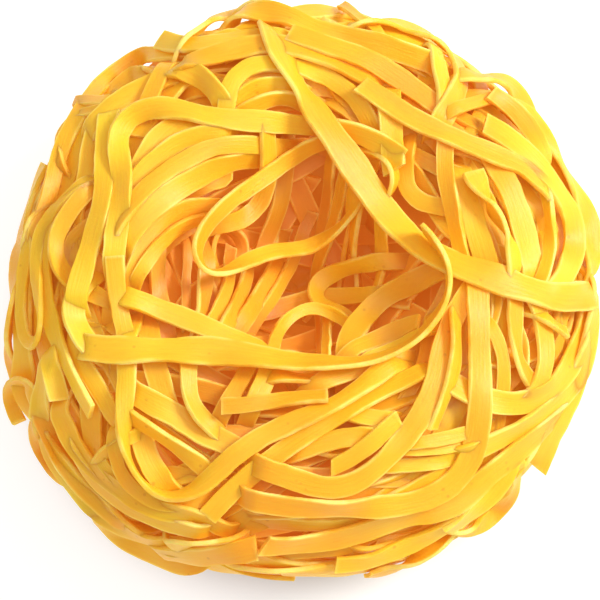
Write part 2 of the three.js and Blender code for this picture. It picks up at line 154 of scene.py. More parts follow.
# Routes of the ribbons on top, the lowest first: (width, leans, ends, places). A place is across and up the
# sight plane, with its height over the bed as a third number where a ribbon stands clear of the heap.
TOP_ROUTES = {
    "hollow_arc_high": (SLIM, FLAT, TUCKED, [(-7.8, 26.4), (-6.2, 28), (-4, 28.4), (-1.8, 27.9)]),
    "hollow_arc_mid": (SLIM, FLAT, TUCKED, [(-8, 24.6), (-6.6, 26.3), (-4.5, 27), (-1.5, 26.7)]),
    "hollow_arc_small": (SLIM, FLAT, TUCKED, [(-6.5, 23.8), (-4, 25.1), (-1.5, 25.4), (0.8, 24.4)]),
    "hollow_back": (SLIM, FLAT, TUCKED, [
        (-9.2, 24.3), (-8.8, 27), (-6.6, 29.2), (-3, 29.6), (1, 28.8), (4.5, 27.4), (7.2, 25.2),
        (8.9, 22)]),
    "hollow_floor": (SLIM, FLAT, TUCKED, [(-1.8, 16.5), (-2.3, 13), (-3.3, 10), (-4.2, 7.5)]),
    "hollow_hook": (SLIM, FLAT, TUCKED, [(13.2, 18), (13, 15), (14, 12.9), (16, 12), (19, 11.4)]),
    "hollow_ring": (SLIM, FLAT, TUCKED, [
        (7, 18.6), (10, 18.2), (11.9, 16.3), (11.8, 13.8), (10.3, 11.8)]),
    "hollow_drop": (THIN, FLAT, TUCKED, [(10.2, 9.5), (10.2, 6), (10.2, 3), (9.3, 0.5)]),
    "bundle_left": (THIN, ON_EDGE, TUCKED, [(3.7, 15.5), (3.4, 12), (2.8, 9), (2.2, 6)]),
    "bundle_middle": (THIN, ON_EDGE, TUCKED, [
        (5.3, 14.5), (4.7, 11.5), (3.9, 8.5), (2.5, 5.5), (2, 3.2)]),
    "bundle_right": (THIN, ON_EDGE, TUCKED, [(6.5, 13), (6, 10), (5.4, 7), (4.6, 4)]),
    "bundle_last": (THIN, ON_EDGE, TUCKED, [(7.3, 11.5), (6.8, 9), (6.3, 6)]),
    "hollow_stub_1": (FINE, ON_EDGE, TUCKED, [(2.4, -1.8), (2.6, -6.3)]),
    "hollow_stub_2": (FINE, ON_EDGE, TUCKED, [(3.5, -1.9), (3.3, -6.4)]),
    "small_ring": (THIN, FLAT, TUCKED, [
        (-10.9, 5), (-11.2, 7.5), (-9.5, 9.3), (-7.7, 8.3), (-7, 6.6), (-7.3, 5)]),
    "comb_1": (SLIM, FLAT, TUCKED, [(-18, 5.5), (-17.9, 2), (-17.3, -0.9)]),
    "comb_2": (FINE, FLAT, TUCKED, [(-14, 4), (-14.1, 1), (-14.2, -1.6)]),
    "comb_3": (SLIM, FLAT, TUCKED, [(-11.8, 4), (-12, 1), (-12.4, -1.8)]),
    "comb_4": (THIN, FLAT, TUCKED, [(-9, 2.5), (-9.8, -0.5), (-11.2, -3)]),
    "comb_5": (SLIM, FLAT, TUCKED, [(-6.6, 2.8), (-7.6, 0), (-9.1, -3)]),
    "comb_6": (SLIM, FLAT, TUCKED, [(-3, 4.5), (-4.5, 1.5), (-6.3, -1.5)]),
    "comb_7": (THIN, FLAT, TUCKED, [(-0.5, 5.5), (-1.8, 3), (-3.2, 0.6)]),
    "left_wall_1": (SLIM, FLAT, TUCKED, [
        (-20.8, 4), (-19, 7.7), (-16.8, 10.5), (-14.3, 11.7), (-11.5, 11.8)]),
    "left_wall_2": (THIN, FLAT, TUCKED, [
        (-19.6, 4.2), (-17.6, 7), (-15.2, 9.1), (-12.8, 10.2), (-10.5, 10.3)]),
    "left_crown": (FULL, FLAT, TUCKED, [(-21, 13.5), (-19.3, 17.5), (-17.3, 20.5), (-14.5, 22.2)]),
    "left_wall_top": (SLIM, FLAT, TUCKED, [
        (-22, 12.5), (-19.8, 16), (-16.8, 18.8), (-13.5, 20.6), (-10, 20.8)]),
    "hollow_left_low": (FULL, FLAT, TUCKED, [
        (-21.5, 7.8), (-19.3, 11), (-16, 13.5), (-12, 15.9), (-8.5, 17.3), (-5.5, 17.9)]),
    "hollow_left_high": (SLIM, FLAT, TUCKED, [
        (-22.6, 9.5), (-20.2, 13), (-17.8, 15.2), (-14.5, 17.3), (-11, 18.9), (-6, 19.4), (-3, 19.2)]),
    "hollow_tongue": (SLIM, FLAT, TUCKED, [(2.2, 0.4), (5, 0.4), (8.3, 0.6)]),
    "hollow_curl": (SLIM, FLAT, TUCKED, [
        (9.4, 4.7), (6.5, 4.2), (4, 3.3), (2.1, 2), (1.6, 0.6), (2.4, -0.5), (4.3, -1.2), (6, -2)]),
    "hollow_bridge": (THIN, FLAT, TUCKED, [
        (-3.5, -6.5), (-3, -4.6), (-2.2, -3), (-0.7, -1.7, 2), (1.4, -1, 2.5), (3.5, -1.2, 2),
        (5.5, -2.1), (6.9, -3.8)]),
    "hollow_right": (FULL, FLAT, TUCKED, [
        (17.3, 3.7), (14, 2.3), (11, 1), (8.8, -0.5), (7.1, -2.4), (6.1, -4.3), (5.9, -6.3)]),
    "hollow_leaf": (SLIM, FLAT, CUT_LAST, [(7, -6), (9.5, -4.8), (12, -3.7), (15.6, -2.6)]),
    "hollow_strip": (THIN, FLAT, TUCKED, [(9, -7), (12, -5.6), (14.5, -4.4), (17.2, -3.6)]),
    "bowl_1": (SLIM, FLAT, TUCKED, [(4.5, -13.6), (7.5, -14.7), (10.5, -15)]),
    "bowl_2": (SLIM, FLAT, TUCKED, [(0.5, -18.8), (3.5, -17.8), (7, -17.1), (9.5, -17)]),
    "bowl_3": (THIN, FLAT, TUCKED, [(11.5, -24.9), (14.5, -23.3), (18, -21.3)]),
    "bowl_4": (THIN, FLAT, TUCKED, [(12, -20.9), (15.5, -20.6), (19.5, -19.8)]),
    "bowl_5": (FINE, FLAT, TUCKED, [(14, -18.9), (17, -18.9), (20, -18.4)]),
    "bowl_6": (THIN, FLAT, TUCKED, [(15, -17.8), (18, -17.3), (21, -16.5)]),
    "bowl_left": (FULL, FLAT, TUCKED, [(-20, -16.5), (-19, -20.3), (-16.8, -23.2)]),
    "bar_under": (FULL, FLAT, TUCKED, [(-18.7, -6), (-18, -9), (-17.2, -12)]),
    "front_low": (FULL, FLAT, TUCKED, [
        (-20.3, -11.9), (-16.5, -14), (-13.5, -15.9), (-10.5, -17.4), (-8, -18.6)]),
    "front_lower": (SLIM, FLAT, TUCKED, [(-20.6, -14.9), (-17, -17.3), (-14, -19.5), (-11.5, -21.5)]),
    "front_drop": (SLIM, FLAT, TUCKED, [(-14, -7), (-14, -10.5), (-13.7, -13), (-12, -15)]),
    "front_slant_1": (SLIM, FLAT, TUCKED, [(-6, -7.5), (-7.3, -10), (-8.8, -12.5)]),
    "front_slant_2": (SLIM, FLAT, TUCKED, [(-3.5, -7.5), (-4.2, -9.8), (-5.3, -12)]),
    "front_fill_1": (SLIM, FLAT, TUCKED, [(-2, -9.5), (1.5, -10), (4.5, -9)]),
    "front_fill_2": (SLIM, FLAT, TUCKED, [(3.5, -9.8), (7, -8.7), (10.5, -7.4)]),
    "left_fill": (FULL, (-20, -20), TUCKED, [
        (-34.2, 3), (-34.8, -2), (-34.8, -7), (-34, -12), (-32.2, -16.5), (-29.6, -21), (-26.4, -25),
        (-22.5, -28.2)]),
    "front_under": (THIN, FLAT, TUCKED, [(-8, -33.4), (-3, -33.9), (2, -33.9), (7, -33.4)]),
    "left_shade": (FULL, FLAT, TUCKED, [
        (-25.8, 23.5), (-27.5, 19.5), (-29.2, 15.5), (-31.3, 11), (-32, 7)]),
    "left_shade_inner": (SLIM, FLAT, TUCKED, [(-25, 23), (-26.3, 19), (-26.9, 15), (-28, 11.5)]),
    "back_left_curl": (2.7, FLAT, TUCKED, [(-25.8, 22), (-23.6, 24.2), (-20, 26.5), (-16.8, 27.9)]),
    "back_left_tie": (SLIM, FLAT, TUCKED, [(-17, 29), (-18.1, 27), (-19, 25)]),
    "back_left_small": (FULL, FLAT, TUCKED, [(-14.8, 28.8), (-12.5, 28.1), (-11, 26.8), (-10.2, 25.6)]),
    "left_handle": (2.1, (-40, -50, -55, -50, -50, -50), TUCKED, [
        (-9, 33), (-13, 31.9), (-17.8, 31), (-21.2, 30.8), (-23.4, 29.2), (-25.3, 27), (-26.8, 24.7),
        (-28.4, 21.9), (-29.8, 19), (-30.9, 15.2), (-32, 11.5), (-33, 8.5)]),
    "back_left": (2.7, (40, 20, 10, 0), CUT_FIRST, [
        (-17.9, 32.8), (-14, 31.9), (-10, 32.2), (-6, 32.8), (-3, 33)]),
    "back_arc": (FULL, FLAT, TUCKED, [
        (-14, 29.9), (-10, 30.9), (-6, 31.9), (-2, 32), (1.5, 31), (5, 29.5), (8.5, 27.8)]),
    "left_tie": (THIN, FLAT, TUCKED, [(-28, 25), (-26, 25), (-24, 25)]),
    "left_small_loop": (FINE, (-22, -22), TUCKED, [
        (-30, 17.4), (-30.2, 19.2), (-30, 20.6), (-29.2, 22.1), (-27.6, 23.4), (-24.5, 24.1)]),
    "left_far": (FULL, FLAT, TUCKED, [
        (-33.6, 10), (-35, 6.5), (-35.6, 2), (-35.9, -3), (-35.7, -7.5), (-34.9, -11)]),
    "left_front_drop": (FULL, FLAT, TUCKED, [(-26.3, -12.5), (-26.1, -16.5), (-25.5, -20)]),
    "left_front_curl": (THIN, FLAT, TUCKED, [(-25.2, -20.3), (-24.3, -18.8), (-22.5, -17.8)]),
    "left_end_3": (SLIM, FLAT, TUCKED, [(-28.3, -5.5), (-26.7, -8.7), (-24.9, -11.7), (-23.3, -14.3)]),
    "left_long": (SLIM, (10, 20, 25, 15, 10), CUT_LAST, [
        (-27.3, 14.3), (-30.3, 11.3), (-31.9, 7.5), (-32.2, 3.5), (-31.7, -0.5), (-30.6, -4.5),
        (-28.9, -8.5), (-27.1, -12), (-25.7, -14.6)]),
    "left_hook": (SLIM, FLAT, TUCKED, [
        (-27, 13.2), (-29.3, 10.5), (-30.5, 8), (-30.6, 5.8), (-29.8, 3.7), (-28.2, 2), (-25.5, 0.6)]),
    "left_riser": (FULL, FLAT, TUCKED, [(-27.5, 1.5), (-28.5, -0.7), (-28.1, -3), (-26.8, -5)]),
    "left_front_far": (FULL, (-20, -20), TUCKED, [
        (-33, -16), (-31.9, -18.3), (-30.2, -20.8), (-28, -23.2), (-25.5, -25.8)]),
    "left_front_fill": (FULL, (-35, -35), TUCKED, [
        (-32, -14.5), (-31, -17.3), (-29.2, -20.6), (-26.4, -24.1), (-22.3, -27.5)]),
    "left_front_fill_low": (SLIM, FLAT, TUCKED, [
        (-31.7, -17.5), (-28.7, -21.7), (-25, -25.6), (-20.5, -28.6)]),
    "left_curled_end": (1.8, (30, 30, 0, -20, -20), CUT_LAST, [
        (-33, -12.5), (-33.8, -10.8), (-35.2, -10), (-36.5, -10.7, 2), (-36.7, -12.3, 3), (-36, -14, 2.5),
        (-35, -16)]),
    "left_hanging_loop": (1.6, (25, 25, 25, 20, 10, -15, -50, -20, 5, 5, 5), TUCKED, [
        (-27.8, 13.9), (-31, 11), (-32.7, 7.5), (-33, 3.5), (-32.6, -0.5), (-32.3, -3.7), (-33, -5.6),
        (-34.3, -5.2), (-34.9, -3), (-34.9, 0.5), (-34.5, 4.5), (-33.6, 9)]),
    "left_end_1": (2.7, (10, 10, 0, -35, -50), CUT_LAST, [
        (-32, -8.5), (-32.3, -11), (-32.6, -13), (-32.8, -15.1)]),
    "left_end_2": (2.4, (15, 15, -10, -45, -55), CUT_LAST, [
        (-31.3, -7.5), (-30.9, -9.5), (-30.4, -11.5), (-29.9, -13.2)]),
    "left_front_low": (FULL, (-30, -30), TUCKED, [
        (-28.5, -23.5), (-25, -26.9), (-21, -29.3), (-17.5, -30.7), (-14, -31.3)]),
    "left_front_strip_1": (THIN, FLAT, TUCKED, [
        (-24.5, -20.5), (-22.5, -23), (-20, -25.2), (-17, -26.4), (-13.5, -26.4)]),
    "left_front_strip_2": (THIN, FLAT, TUCKED, [
        (-23.3, -17.5), (-22.9, -20.5), (-21.5, -23), (-19, -25), (-16, -25.8), (-13, -25.3)]),
    "left_front": (2.6, (-20, -20), TUCKED, [
        (-30, -14.5), (-28.7, -17.5), (-27, -20), (-24, -22.6), (-20, -25.3), (-17, -26.4), (-13, -26.8),
        (-10, -28.5)]),
    "left_front_second": (2.4, (-25, -25), TUCKED, [
        (-28.6, -18.5), (-25.5, -22.8), (-21.5, -25.9), (-17, -27.8), (-13, -28.9)]),
    "front_left_under": (SLIM, FLAT, TUCKED, [(-16, -30.8), (-12.5, -30.2), (-9, -30.2)]),
    "front_left_edge": (FULL, (-30, -30), TUCKED, [
        (-25.5, -27.7), (-21.5, -30.4), (-17.5, -32.2), (-14.5, -33)]),
    "front_left_foot": (3.2, (-10, -25, -25), CUT_LAST, [
        (-17.5, -31.7), (-13.7, -32.2), (-9.6, -31.8), (-4.8, -30.9)]),
    "back_low": (SLIM, FLAT, TUCKED, [(7.5, 34.2), (12, 33.3), (16.5, 31.5)]),
    "back_strand": (SLIM, (-12, -12, -45, -40), TUCKED, [
        (-14, 32.9), (-12, 34), (-9.5, 35.4), (-7, 36.2), (-5, 36.2)]),
    "back_loop": (FULL, (0, 12, 38, 45, 45, 40), TUCKED, [
        (-6.9, 36.2), (-5, 36.3), (-3, 36), (0, 35), (4, 33.7), (8, 32.6), (12, 31.2), (16.3, 29.8)]),
    "back_spur": (1.3, (40, 20), CUT_FIRST, [(4.7, 37.5), (6.2, 36.5), (7.6, 35.3), (9.5, 33.8)]),
    "back_band": (2.7, (30, 20, 0, 0), CUT_FIRST, [
        (-2, 33.6), (3, 32), (8, 30.4), (11.5, 28.4), (14.5, 26.4), (17.3, 24.2)]),
    "back_right_drop": (SLIM, FLAT, TUCKED, [(16.9, 31.3), (17.5, 28.8), (18, 26)]),
    "back_right_bend": (FULL, (-30, -30, -38, -15, -45, -35, -5, 0), TUCKED, [
        (8, 34.6), (12.5, 34.6), (15, 33.5), (17.5, 32), (19.4, 30.4), (20.2, 28.5), (19.9, 26.5),
        (18.9, 24.6), (18, 23)]),
    "right_back_face": (FULL, FLAT, TUCKED, [(20.5, 15), (21.5, 11), (22.5, 7.5), (23.5, 4.5)]),
    "right_inner": (SLIM, FLAT, TUCKED, [(18.2, 20), (18.1, 16), (18.7, 12.5), (19.4, 9), (20.1, 5.8)]),
    "right_fold": (THIN, FLAT, TUCKED, [(19.6, 24), (22, 24.8), (24.2, 25.4)]),
    "right_plain": (FULL, FLAT, TUCKED, [(24.3, 17.5), (26, 14), (27.4, 10.7), (28.5, 7.5), (29.2, 4)]),
    "right_twist": (3.3, (0, 0, -25, -60, -70, -72, -45, -25, 0, 0, 0), CUT_FIRST, [
        (21.3, 16.8), (22.2, 14.6), (23.2, 12.6), (24.3, 10.8), (25.8, 9), (26.6, 6.8), (26.8, 4.2)]),
    "right_sliver": (THIN, ON_EDGE, TUCKED, [(30.5, 13.5), (31, 11), (31.3, 8), (31.1, 5.5), (30.4, 3)]),
    "right_edge": (FULL, FLAT, TUCKED, [
        (20.8, 28.2), (24.5, 27), (28, 24.7), (30.5, 21.5), (32.7, 18), (34.7, 14.5), (36, 10.8),
        (36.7, 6.5), (37, 2), (36.8, -2)]),
    "right_fill": (FULL, FLAT, TUCKED, [
        (31.5, 17), (33.7, 12.5), (35.2, 8), (35.9, 3), (35.6, -2), (34.8, -7), (33, -11), (30.5, -15)]),
    "front_right_fill": (FULL, FLAT, TUCKED, [
        (33.5, -10), (31, -15.5), (28, -20), (24.5, -24.5), (20, -28)]),
    "right_edge_low": (FULL, FLAT, TUCKED, [
        (27, 24.3), (29.3, 21.4), (31.5, 17.9), (33.4, 14.5), (34.9, 11), (35.6, 7.5), (36, 4)]),
    "right_top_band": (SLIM, FLAT, CUT_FIRST, [
        (23.2, 26.2), (25.5, 24.7), (27.3, 22.7), (28.8, 20.3), (30, 18)]),
    "hollow_wall": (3.1, FLAT, CUT_LAST, [(11.2, 25), (11.3, 21), (11.4, 17.5), (11.6, 15.2)]),
    "right_shoulder": (2.6, FLAT, CUT_FIRST, [
        (6.9, 27.3), (10, 25.4), (13, 23.2), (17, 21.3), (21, 19.6), (25, 18.1), (28.5, 16.4),
        (30.8, 14)]),
    "right_outer": (FULL, (15, 15), CUT_FIRST, [
        (22.6, 22.6), (25, 21.2), (27.5, 19.2), (30, 16.7), (32.2, 13.7), (33.8, 10.8), (34.6, 8),
        (34.3, 5.5), (33, 3), (31.8, 1)]),
    "right_ring_1": (THIN, FLAT, TUCKED, [(24.3, -4), (25.3, -6), (25.6, -9), (25.3, -12)]),
    "right_ring_2": (SLIM, FLAT, TUCKED, [(27, -0.5), (27, -5), (27.5, -8), (29, -10.3)]),
    "right_ring_3": (SLIM, FLAT, TUCKED, [
        (29.6, -0.5), (30.4, -3.5), (30.8, -6), (30.6, -8.5), (29.8, -10.7), (28.3, -12.3)]),
    "right_flag": (THIN, FLAT, CUT_LAST, [(31, -2.5), (32.3, -3.6), (33.6, -4.2)]),
    "right_front_rise": (FULL, FLAT, TUCKED, [
        (17.8, -9.6), (20.5, -11.3), (23.5, -12.6), (27, -12.9), (30.2, -12), (32.8, -9.8), (34.7, -6.8),
        (35.8, -3.5), (36.2, -0.5)]),
    "right_front_arc": (FULL, FLAT, TUCKED, [
        (37, 1), (36.7, -3.5), (35.5, -8.3), (33.7, -11.4), (31.2, -13.7), (28, -15.8), (25, -17.4),
        (21.5, -19)]),
    "right_front_edge": (3.2, (0, 20, 50, 70), CUT_LAST, [
        (36, -6), (34.4, -11), (32.6, -15), (31, -18), (29.4, -21.6)]),
    "front_strip": (THIN, FLAT, TUCKED, [(8.5, -31.9), (12, -31.2), (16, -29.6), (19.5, -27.6)]),
    "front_edge_low": (2.4, (30, 20, 0), CUT_FIRST, [
        (7.7, -34.4), (11, -33.9), (14, -32.6), (17, -30.8), (20, -28.8)]),
    "front_edge": (SLIM, FLAT, CUT_FIRST, [
        (3.8, -33.1), (7, -33.1), (10.5, -32.2), (14, -30.8), (17.5, -28.9), (20, -27.3)]),
    "front_right_rim": (SLIM, FLAT, TUCKED, [(27.3, -20.5), (26.2, -24.5), (23.8, -27.3), (21, -29)]),
    "front_right_edge": (FULL, FLAT, CUT_LAST, [
        (26.3, -20.5), (24.6, -23.5), (22.3, -25.9), (20, -27.9), (18, -29.3)]),
    "front_band": (FULL, FLAT, CUT_LAST, [
        (32.5, -14.3), (28.7, -17.8), (25.4, -20.4), (22, -22.8), (18, -25.1), (14, -26.8), (9, -28.7),
        (4, -30.2), (-1, -30.8), (-5.3, -30.7)]),
    "left_rise": (2.7, FLAT, TUCKED, [
        (-24, 23), (-24.2, 20), (-24.5, 16), (-24.6, 13), (-25.6, 9), (-27.4, 3), (-27.9, 0.8)]),
    "hollow_prop": (SLIM, FLAT, TUCKED, [
        (-4, 21), (-4, 17.5), (-4.2, 14.5), (-4.8, 12.2), (-6.3, 10.6), (-8.5, 9.8)]),
    "hollow_arch": (2.7, FLAT, CUT_LAST, [
        (-23.3, 5.5), (-22.9, 9), (-22.2, 13), (-22.4, 17), (-22.9, 20), (-21.9, 22.6), (-19, 24.1),
        (-14.5, 23.7), (-10.5, 22.7), (-6, 22.2), (-1, 21.9), (4, 21.6), (8, 20.3), (11, 18.6),
        (13, 16.9)]),
    "left_rise_low": (SLIM, FLAT, CUT_FIRST, [
        (-23.2, 6.2), (-23.1, 3), (-22.9, 0), (-22.4, -2.5), (-21.8, -5)]),
    "hollow_loop": (2.1, (10, 10, 10, 5, -5, 10, -38, -48, -45, -22, -30), TUCKED, [
        (4, 19.9), (1.5, 19.3), (-2, 17, 2), (-5, 14.6, 3), (-8, 12.2, 4), (-10.5, 9.8, 4),
        (-12.2, 7.4, 3.5), (-12.6, 5.3, 3), (-11.8, 3.8, 3), (-10, 3.1, 3), (-8, 4, 3.5), (-5.9, 5.2, 4),
        (-3.5, 6.2, 4.5), (-1, 6.9, 4.5), (1.4, 7.6, 4.5), (3.5, 8.3, 4), (5.3, 9.2, 3.5),
        (6.5, 10.8, 2.5), (7.2, 13)]),
    "front_steep": (2.6, FLAT, TUCKED, [(-20.6, 0), (-17, -1.4), (-13, -2.9), (-9, -4.6), (-5, -6)]),
    "front_sweep_short": (SLIM, FLAT, CUT, [
        (3.2, -21.4), (6, -20), (8.8, -18), (11, -16), (12.9, -14.3)]),
    "front_rising": (2.5, FLAT, CUT_FIRST, [
        (-12, -27.4), (-9.2, -24.6), (-6.3, -21.9), (-3.2, -19.7), (0, -17.4), (3.5, -15), (7.5, -12.9),
        (11.5, -10.8), (15, -9)]),
    "front_bowl": (2.5, (0, 0, -40, -66, -55, -25, 0, 0, 0, 0, 0), TUCKED, [
        (-21.8, -6), (-21.7, -10), (-22, -14), (-22, -17.5), (-21.4, -20.3), (-20, -22.7), (-17.8, -24.3),
        (-15, -24.5), (-12, -23), (-8, -19.3), (-5, -17.3), (-2, -15.8), (1, -14.5), (4, -13.2),
        (7, -11.3), (10.5, -8.5)]),
    "front_short": (2.0, FLAT, CUT, [(-10.6, -13.4), (-6, -13.1), (-2.5, -12.5), (1, -12), (4.2, -11.8)]),
    "front_sweep": (2.7, FLAT, TUCKED, [
        (20.8, 0.6), (18.7, -3), (17.7, -6), (17.3, -9), (16.3, -12), (14, -16.2), (11, -19.5),
        (8, -22.2), (5, -23.5), (2, -23.3), (-1, -22.3), (-4, -21.3)]),
    "front_sweep_side": (SLIM, (-30, -30), CUT_LAST, [
        (19.3, -3), (19.5, -6), (19.2, -9), (17.8, -13), (16.2, -16.8)]),
    "front_right_sweep": (FULL, FLAT, TUCKED, [
        (22.2, 1.5), (22.4, -4), (22.5, -9), (22.5, -13.5), (22, -17.7), (20.5, -21.3), (18, -23.9),
        (14, -25.4), (10, -25.9), (6, -26), (2, -26), (-2, -25.7), (-5.5, -25.2)]),
    "long_sweep": (3.7, (-40, -25, -30, -38, -56, -48, -12, 5, 12, 5, 0), TUCKED, [
        (-3.4, 33.4), (-2.6, 31.4), (-1.8, 29.7), (-0.3, 26.8), (1.7, 23.6, 3), (3.6, 20.4, 4),
        (5.8, 16.9, 4.5), (8, 13.8, 4.5), (10.3, 10.8, 4), (13.8, 7.3, 3), (18, 4.9), (24, 2.9),
        (28, 1.5), (31, 0.6), (36.5, 0.6)]),
    "crossbar": (3.4, (0, 0, 0, 0, -4, -10, -25, -33, -39, -49, -66), CUT_LAST, [
        (-26.3, -5.9), (-24, -6.2), (-18, -6.3), (-10, -6.3, 2.5), (-4, -6.7, 3.5), (0, -7.1, 3.5),
        (4, -7.3, 3.5), (8, -7.2, 3), (11, -6.4, 3), (13.5, -5.2, 3.5), (15.1, -3.5, 3.5),
        (16.6, -1.5, 4), (17.7, 0.8, 4), (17.8, 2.7, 4.5), (17.5, 4.2, 4.5), (16.7, 5.8, 4.5),
        (15.6, 7.4, 4.5), (13.8, 9.3, 4.5)]),
}

TOP_SEED = 5

# Partners of the top ribbons: ribbons laid before them, more or less alongside, over the rim of the nest.
PARTNER_SEED = 11
PARTNER_LENGTH = 12.0        # a ribbon shorter than this has none
PARTNER_CLEARANCE = 14.0     # nor has one that comes nearer to the hollow's middle than this
PARTNER_SHIFT = (0.9, 1.9)   # how far it lies aside, in ribbon widths
PARTNER_SLANT = 1.2          # how much further aside it lies at one end, and nearer at the other
PARTNER_STATION = 3.0        # spacing of its guide points
PARTNER_WIDTHS = (1.7, 2.9)

# Ribbons round the sides, by the same rule and draws as in the solid, and those laid first, underneath them.
WINDINGS = 19
WINDING_SEED = 7
WINDING_TILT = (0.05, 0.42)
WINDING_LATITUDE = (-0.45, 0.5)
WINDING_SWEEP = (1.7, 2.9)
WINDING_WOBBLE = 0.09
WINDING_WOBBLES = 2.3        # wobbles in a full turn
WINDING_GUIDES = 13
GOLDEN_TURN = 2.399963       # from the start of one winding to that of the next
UNDER_WINDINGS = 64
UNDER_SEED = 31
UNDER_LATITUDE = (-1.25, 0.55)

# Ribbons deep in the heap, which show through its gaps. Their guides are worked out on a ball of radius 1
# about the bed's centre.
DEEP_RIBBONS = 110
DEEP_SEED = 21
DEEP_WIDTH = (0.8, 1.0)      # shares of a ribbon's width
DEEP_LENGTH = (45.0, 110.0)
DEEP_LEVEL = (-0.75, 1.0)    # height on the ball of the place that a ribbon runs through
DEEP_HEADING = 0.45          # spread of its heading off level
DEEP_WINDING = 0.55          # 0 winds it on a great circle, 1 straight round the nest
DEEP_TIGHTEST = 0.02         # least square of the radius of the circle on which it runs
DEEP_LONGEST = 5.0           # furthest that it goes round the circle
DEEP_GUIDES = 15
DEEP_SWAY = 0.07
DEEP_SWAYS = (1.5, 3.5)      # sways in a full turn
DEEP_PHASE = (0, 6)


# ---------------------------------------------------------------- arrays

def unit(vectors):
    """Each vector over its own length."""
    return vectors / np.linalg.norm(vectors, axis=-1, keepdims=True)


def dot(a, b):
    """Sum of the products of two vectors' parts, for each pair of vectors."""
    return np.sum(a * b, axis=-1)


def smoothed(values, times):
    """Each value becomes a quarter of either neighbour and half of itself, a number of times over."""
    line = np.asarray(values, float)
    for _ in range(times):
        padded = np.concatenate([line[:1], line, line[-1:]])
        line = (padded[:-2] + 2 * padded[1:-1] + padded[2:]) / 4
    return line


# ---------------------------------------------------------------- the bed

def dip(points):
    """Depth of the hollow at each place: a bell, its depth times e to the minus square of distance over
    spread."""
    away = np.hypot(points[..., 0] - HOLLOW_X, points[..., 1] - HOLLOW_Y) / HOLLOW_SPREAD
    return HOLLOW_DEPTH * np.exp(-away * away)


def bed_value(points):
    """Implicit form of the bed, 0 on its surface: the n-norm of (distance from the axis over the radius) and
    (height from the middle over the half height), less 1, with the upper half let down by the dip."""
    above = np.where(points[..., 2] > BED_MIDDLE, dip(points), 0.0)
    wide = np.hypot(points[..., 0], points[..., 1]) / BED_RADIUS
    high = np.abs(points[..., 2] + above - BED_MIDDLE) / BED_HALF_HEIGHT
    return (wide ** BED_FULLNESS + high ** BED_FULLNESS) ** (1 / BED_FULLNESS) - 1


def bed_slope(points):
    """Gradient of the implicit form, by central differences."""
    shifts = SLOPE_STEP * np.eye(3)
    rises = [bed_value(points + shift) - bed_value(points - shift) for shift in shifts]
    return np.stack([rise / (2 * SLOPE_STEP) for rise in rises], axis=-1)


def bed_normal(points):
    """Way out of the bed: its slope over the slope's length."""
    return unit(bed_slope(points))


def bed_distance(points):
    """Signed distance to the bed to first order: the form's value over the length of its slope."""
    return bed_value(points) / np.linalg.norm(bed_slope(points), axis=-1)


def onto_bed(points):
    """The bed's points under points near it, by Newton steps down the slope."""
    found = np.array(points, float)
    for _ in range(NEWTON_STEPS):
        found = found - bed_normal(found) * bed_distance(found)[..., None]
    return found


def bed_along(directions):
    """The bed's points in given directions from its centre, by halving."""
    inside = np.zeros(directions.shape[:-1])
    outside = np.full(directions.shape[:-1], 2 * BED_RADIUS)
    for _ in range(HALVINGS):
        middle = (inside + outside) / 2
        within_bed = bed_value(BED_CENTRE + directions * middle[..., None]) < 0
        inside = np.where(within_bed, middle, inside)
        outside = np.where(within_bed, outside, middle)
    return BED_CENTRE + directions * inside[..., None]


def on_sight_lines(points, heights):
    """Where the sight line through each point first comes within a height of the bed, or the line's nearest
    point to the bed where it passes by."""
    directions = unit(points - EYE)
    reach = BED_RADIUS + BED_HALF_HEIGHT
    far = np.arange(SIGHT_DISTANCE - reach, SIGHT_DISTANCE + reach, SIGHT_STEP)
    probes = EYE + directions[:, None, :] * far[None, :, None]
    gaps = bed_distance(probes)
    hit = gaps < heights[:, None]
    first = np.where(hit.any(axis=1), hit.argmax(axis=1), gaps.argmin(axis=1))
    return probes[np.arange(len(points)), first]


def sighted(route):
    """A route's places on their sight lines, at the height that each of them gives, or at TOP_LAYER."""
    places = np.array([(place[0], place[1]) for place in route], float)
    heights = np.array([place[2] if len(place) > 2 else TOP_LAYER for place in route], float)
    return on_sight_lines(SIGHT_TARGET + places[:, :1] * SIGHT_ACROSS + places[:, 1:2] * SIGHT_UP, heights)


# ---------------------------------------------------------------- draping

class Relief:
    """Height over the bed of what has been laid so far, in small cells of the space round its surface."""

    def __init__(self, ground):
        reach = BED_RADIUS + RELIEF_MARGIN
        self.low = np.array([-reach, -reach, RELIEF_FLOOR])
        high = np.array([reach, reach, BED_MIDDLE + BED_HALF_HEIGHT + RELIEF_HEADROOM])
        self.heights = np.full(np.ceil((high - self.low) / RELIEF_CELL).astype(int) + 1, float(ground))

    def cells(self, points):
        """Indices of the cells that hold the points."""
        return tuple(np.moveaxis(((points - self.low) / RELIEF_CELL).astype(int), -1, 0))

    def at(self, points):
        """Heights in the points' cells."""
        return self.heights[self.cells(points)]

    def raise_to(self, points, heights):
        """Sets the points' cells to their heights, where those are greater."""
        np.maximum.at(self.heights, self.cells(points), heights)


relief = Relief(-HEART_DEPTH)
rolls = np.random.default_rng(ROLL_SEED)


def along_lengths(points):
    """How far along their line each of the points is."""
    return np.concatenate([[0], np.cumsum(np.linalg.norm(np.diff(points, axis=0), axis=1))])


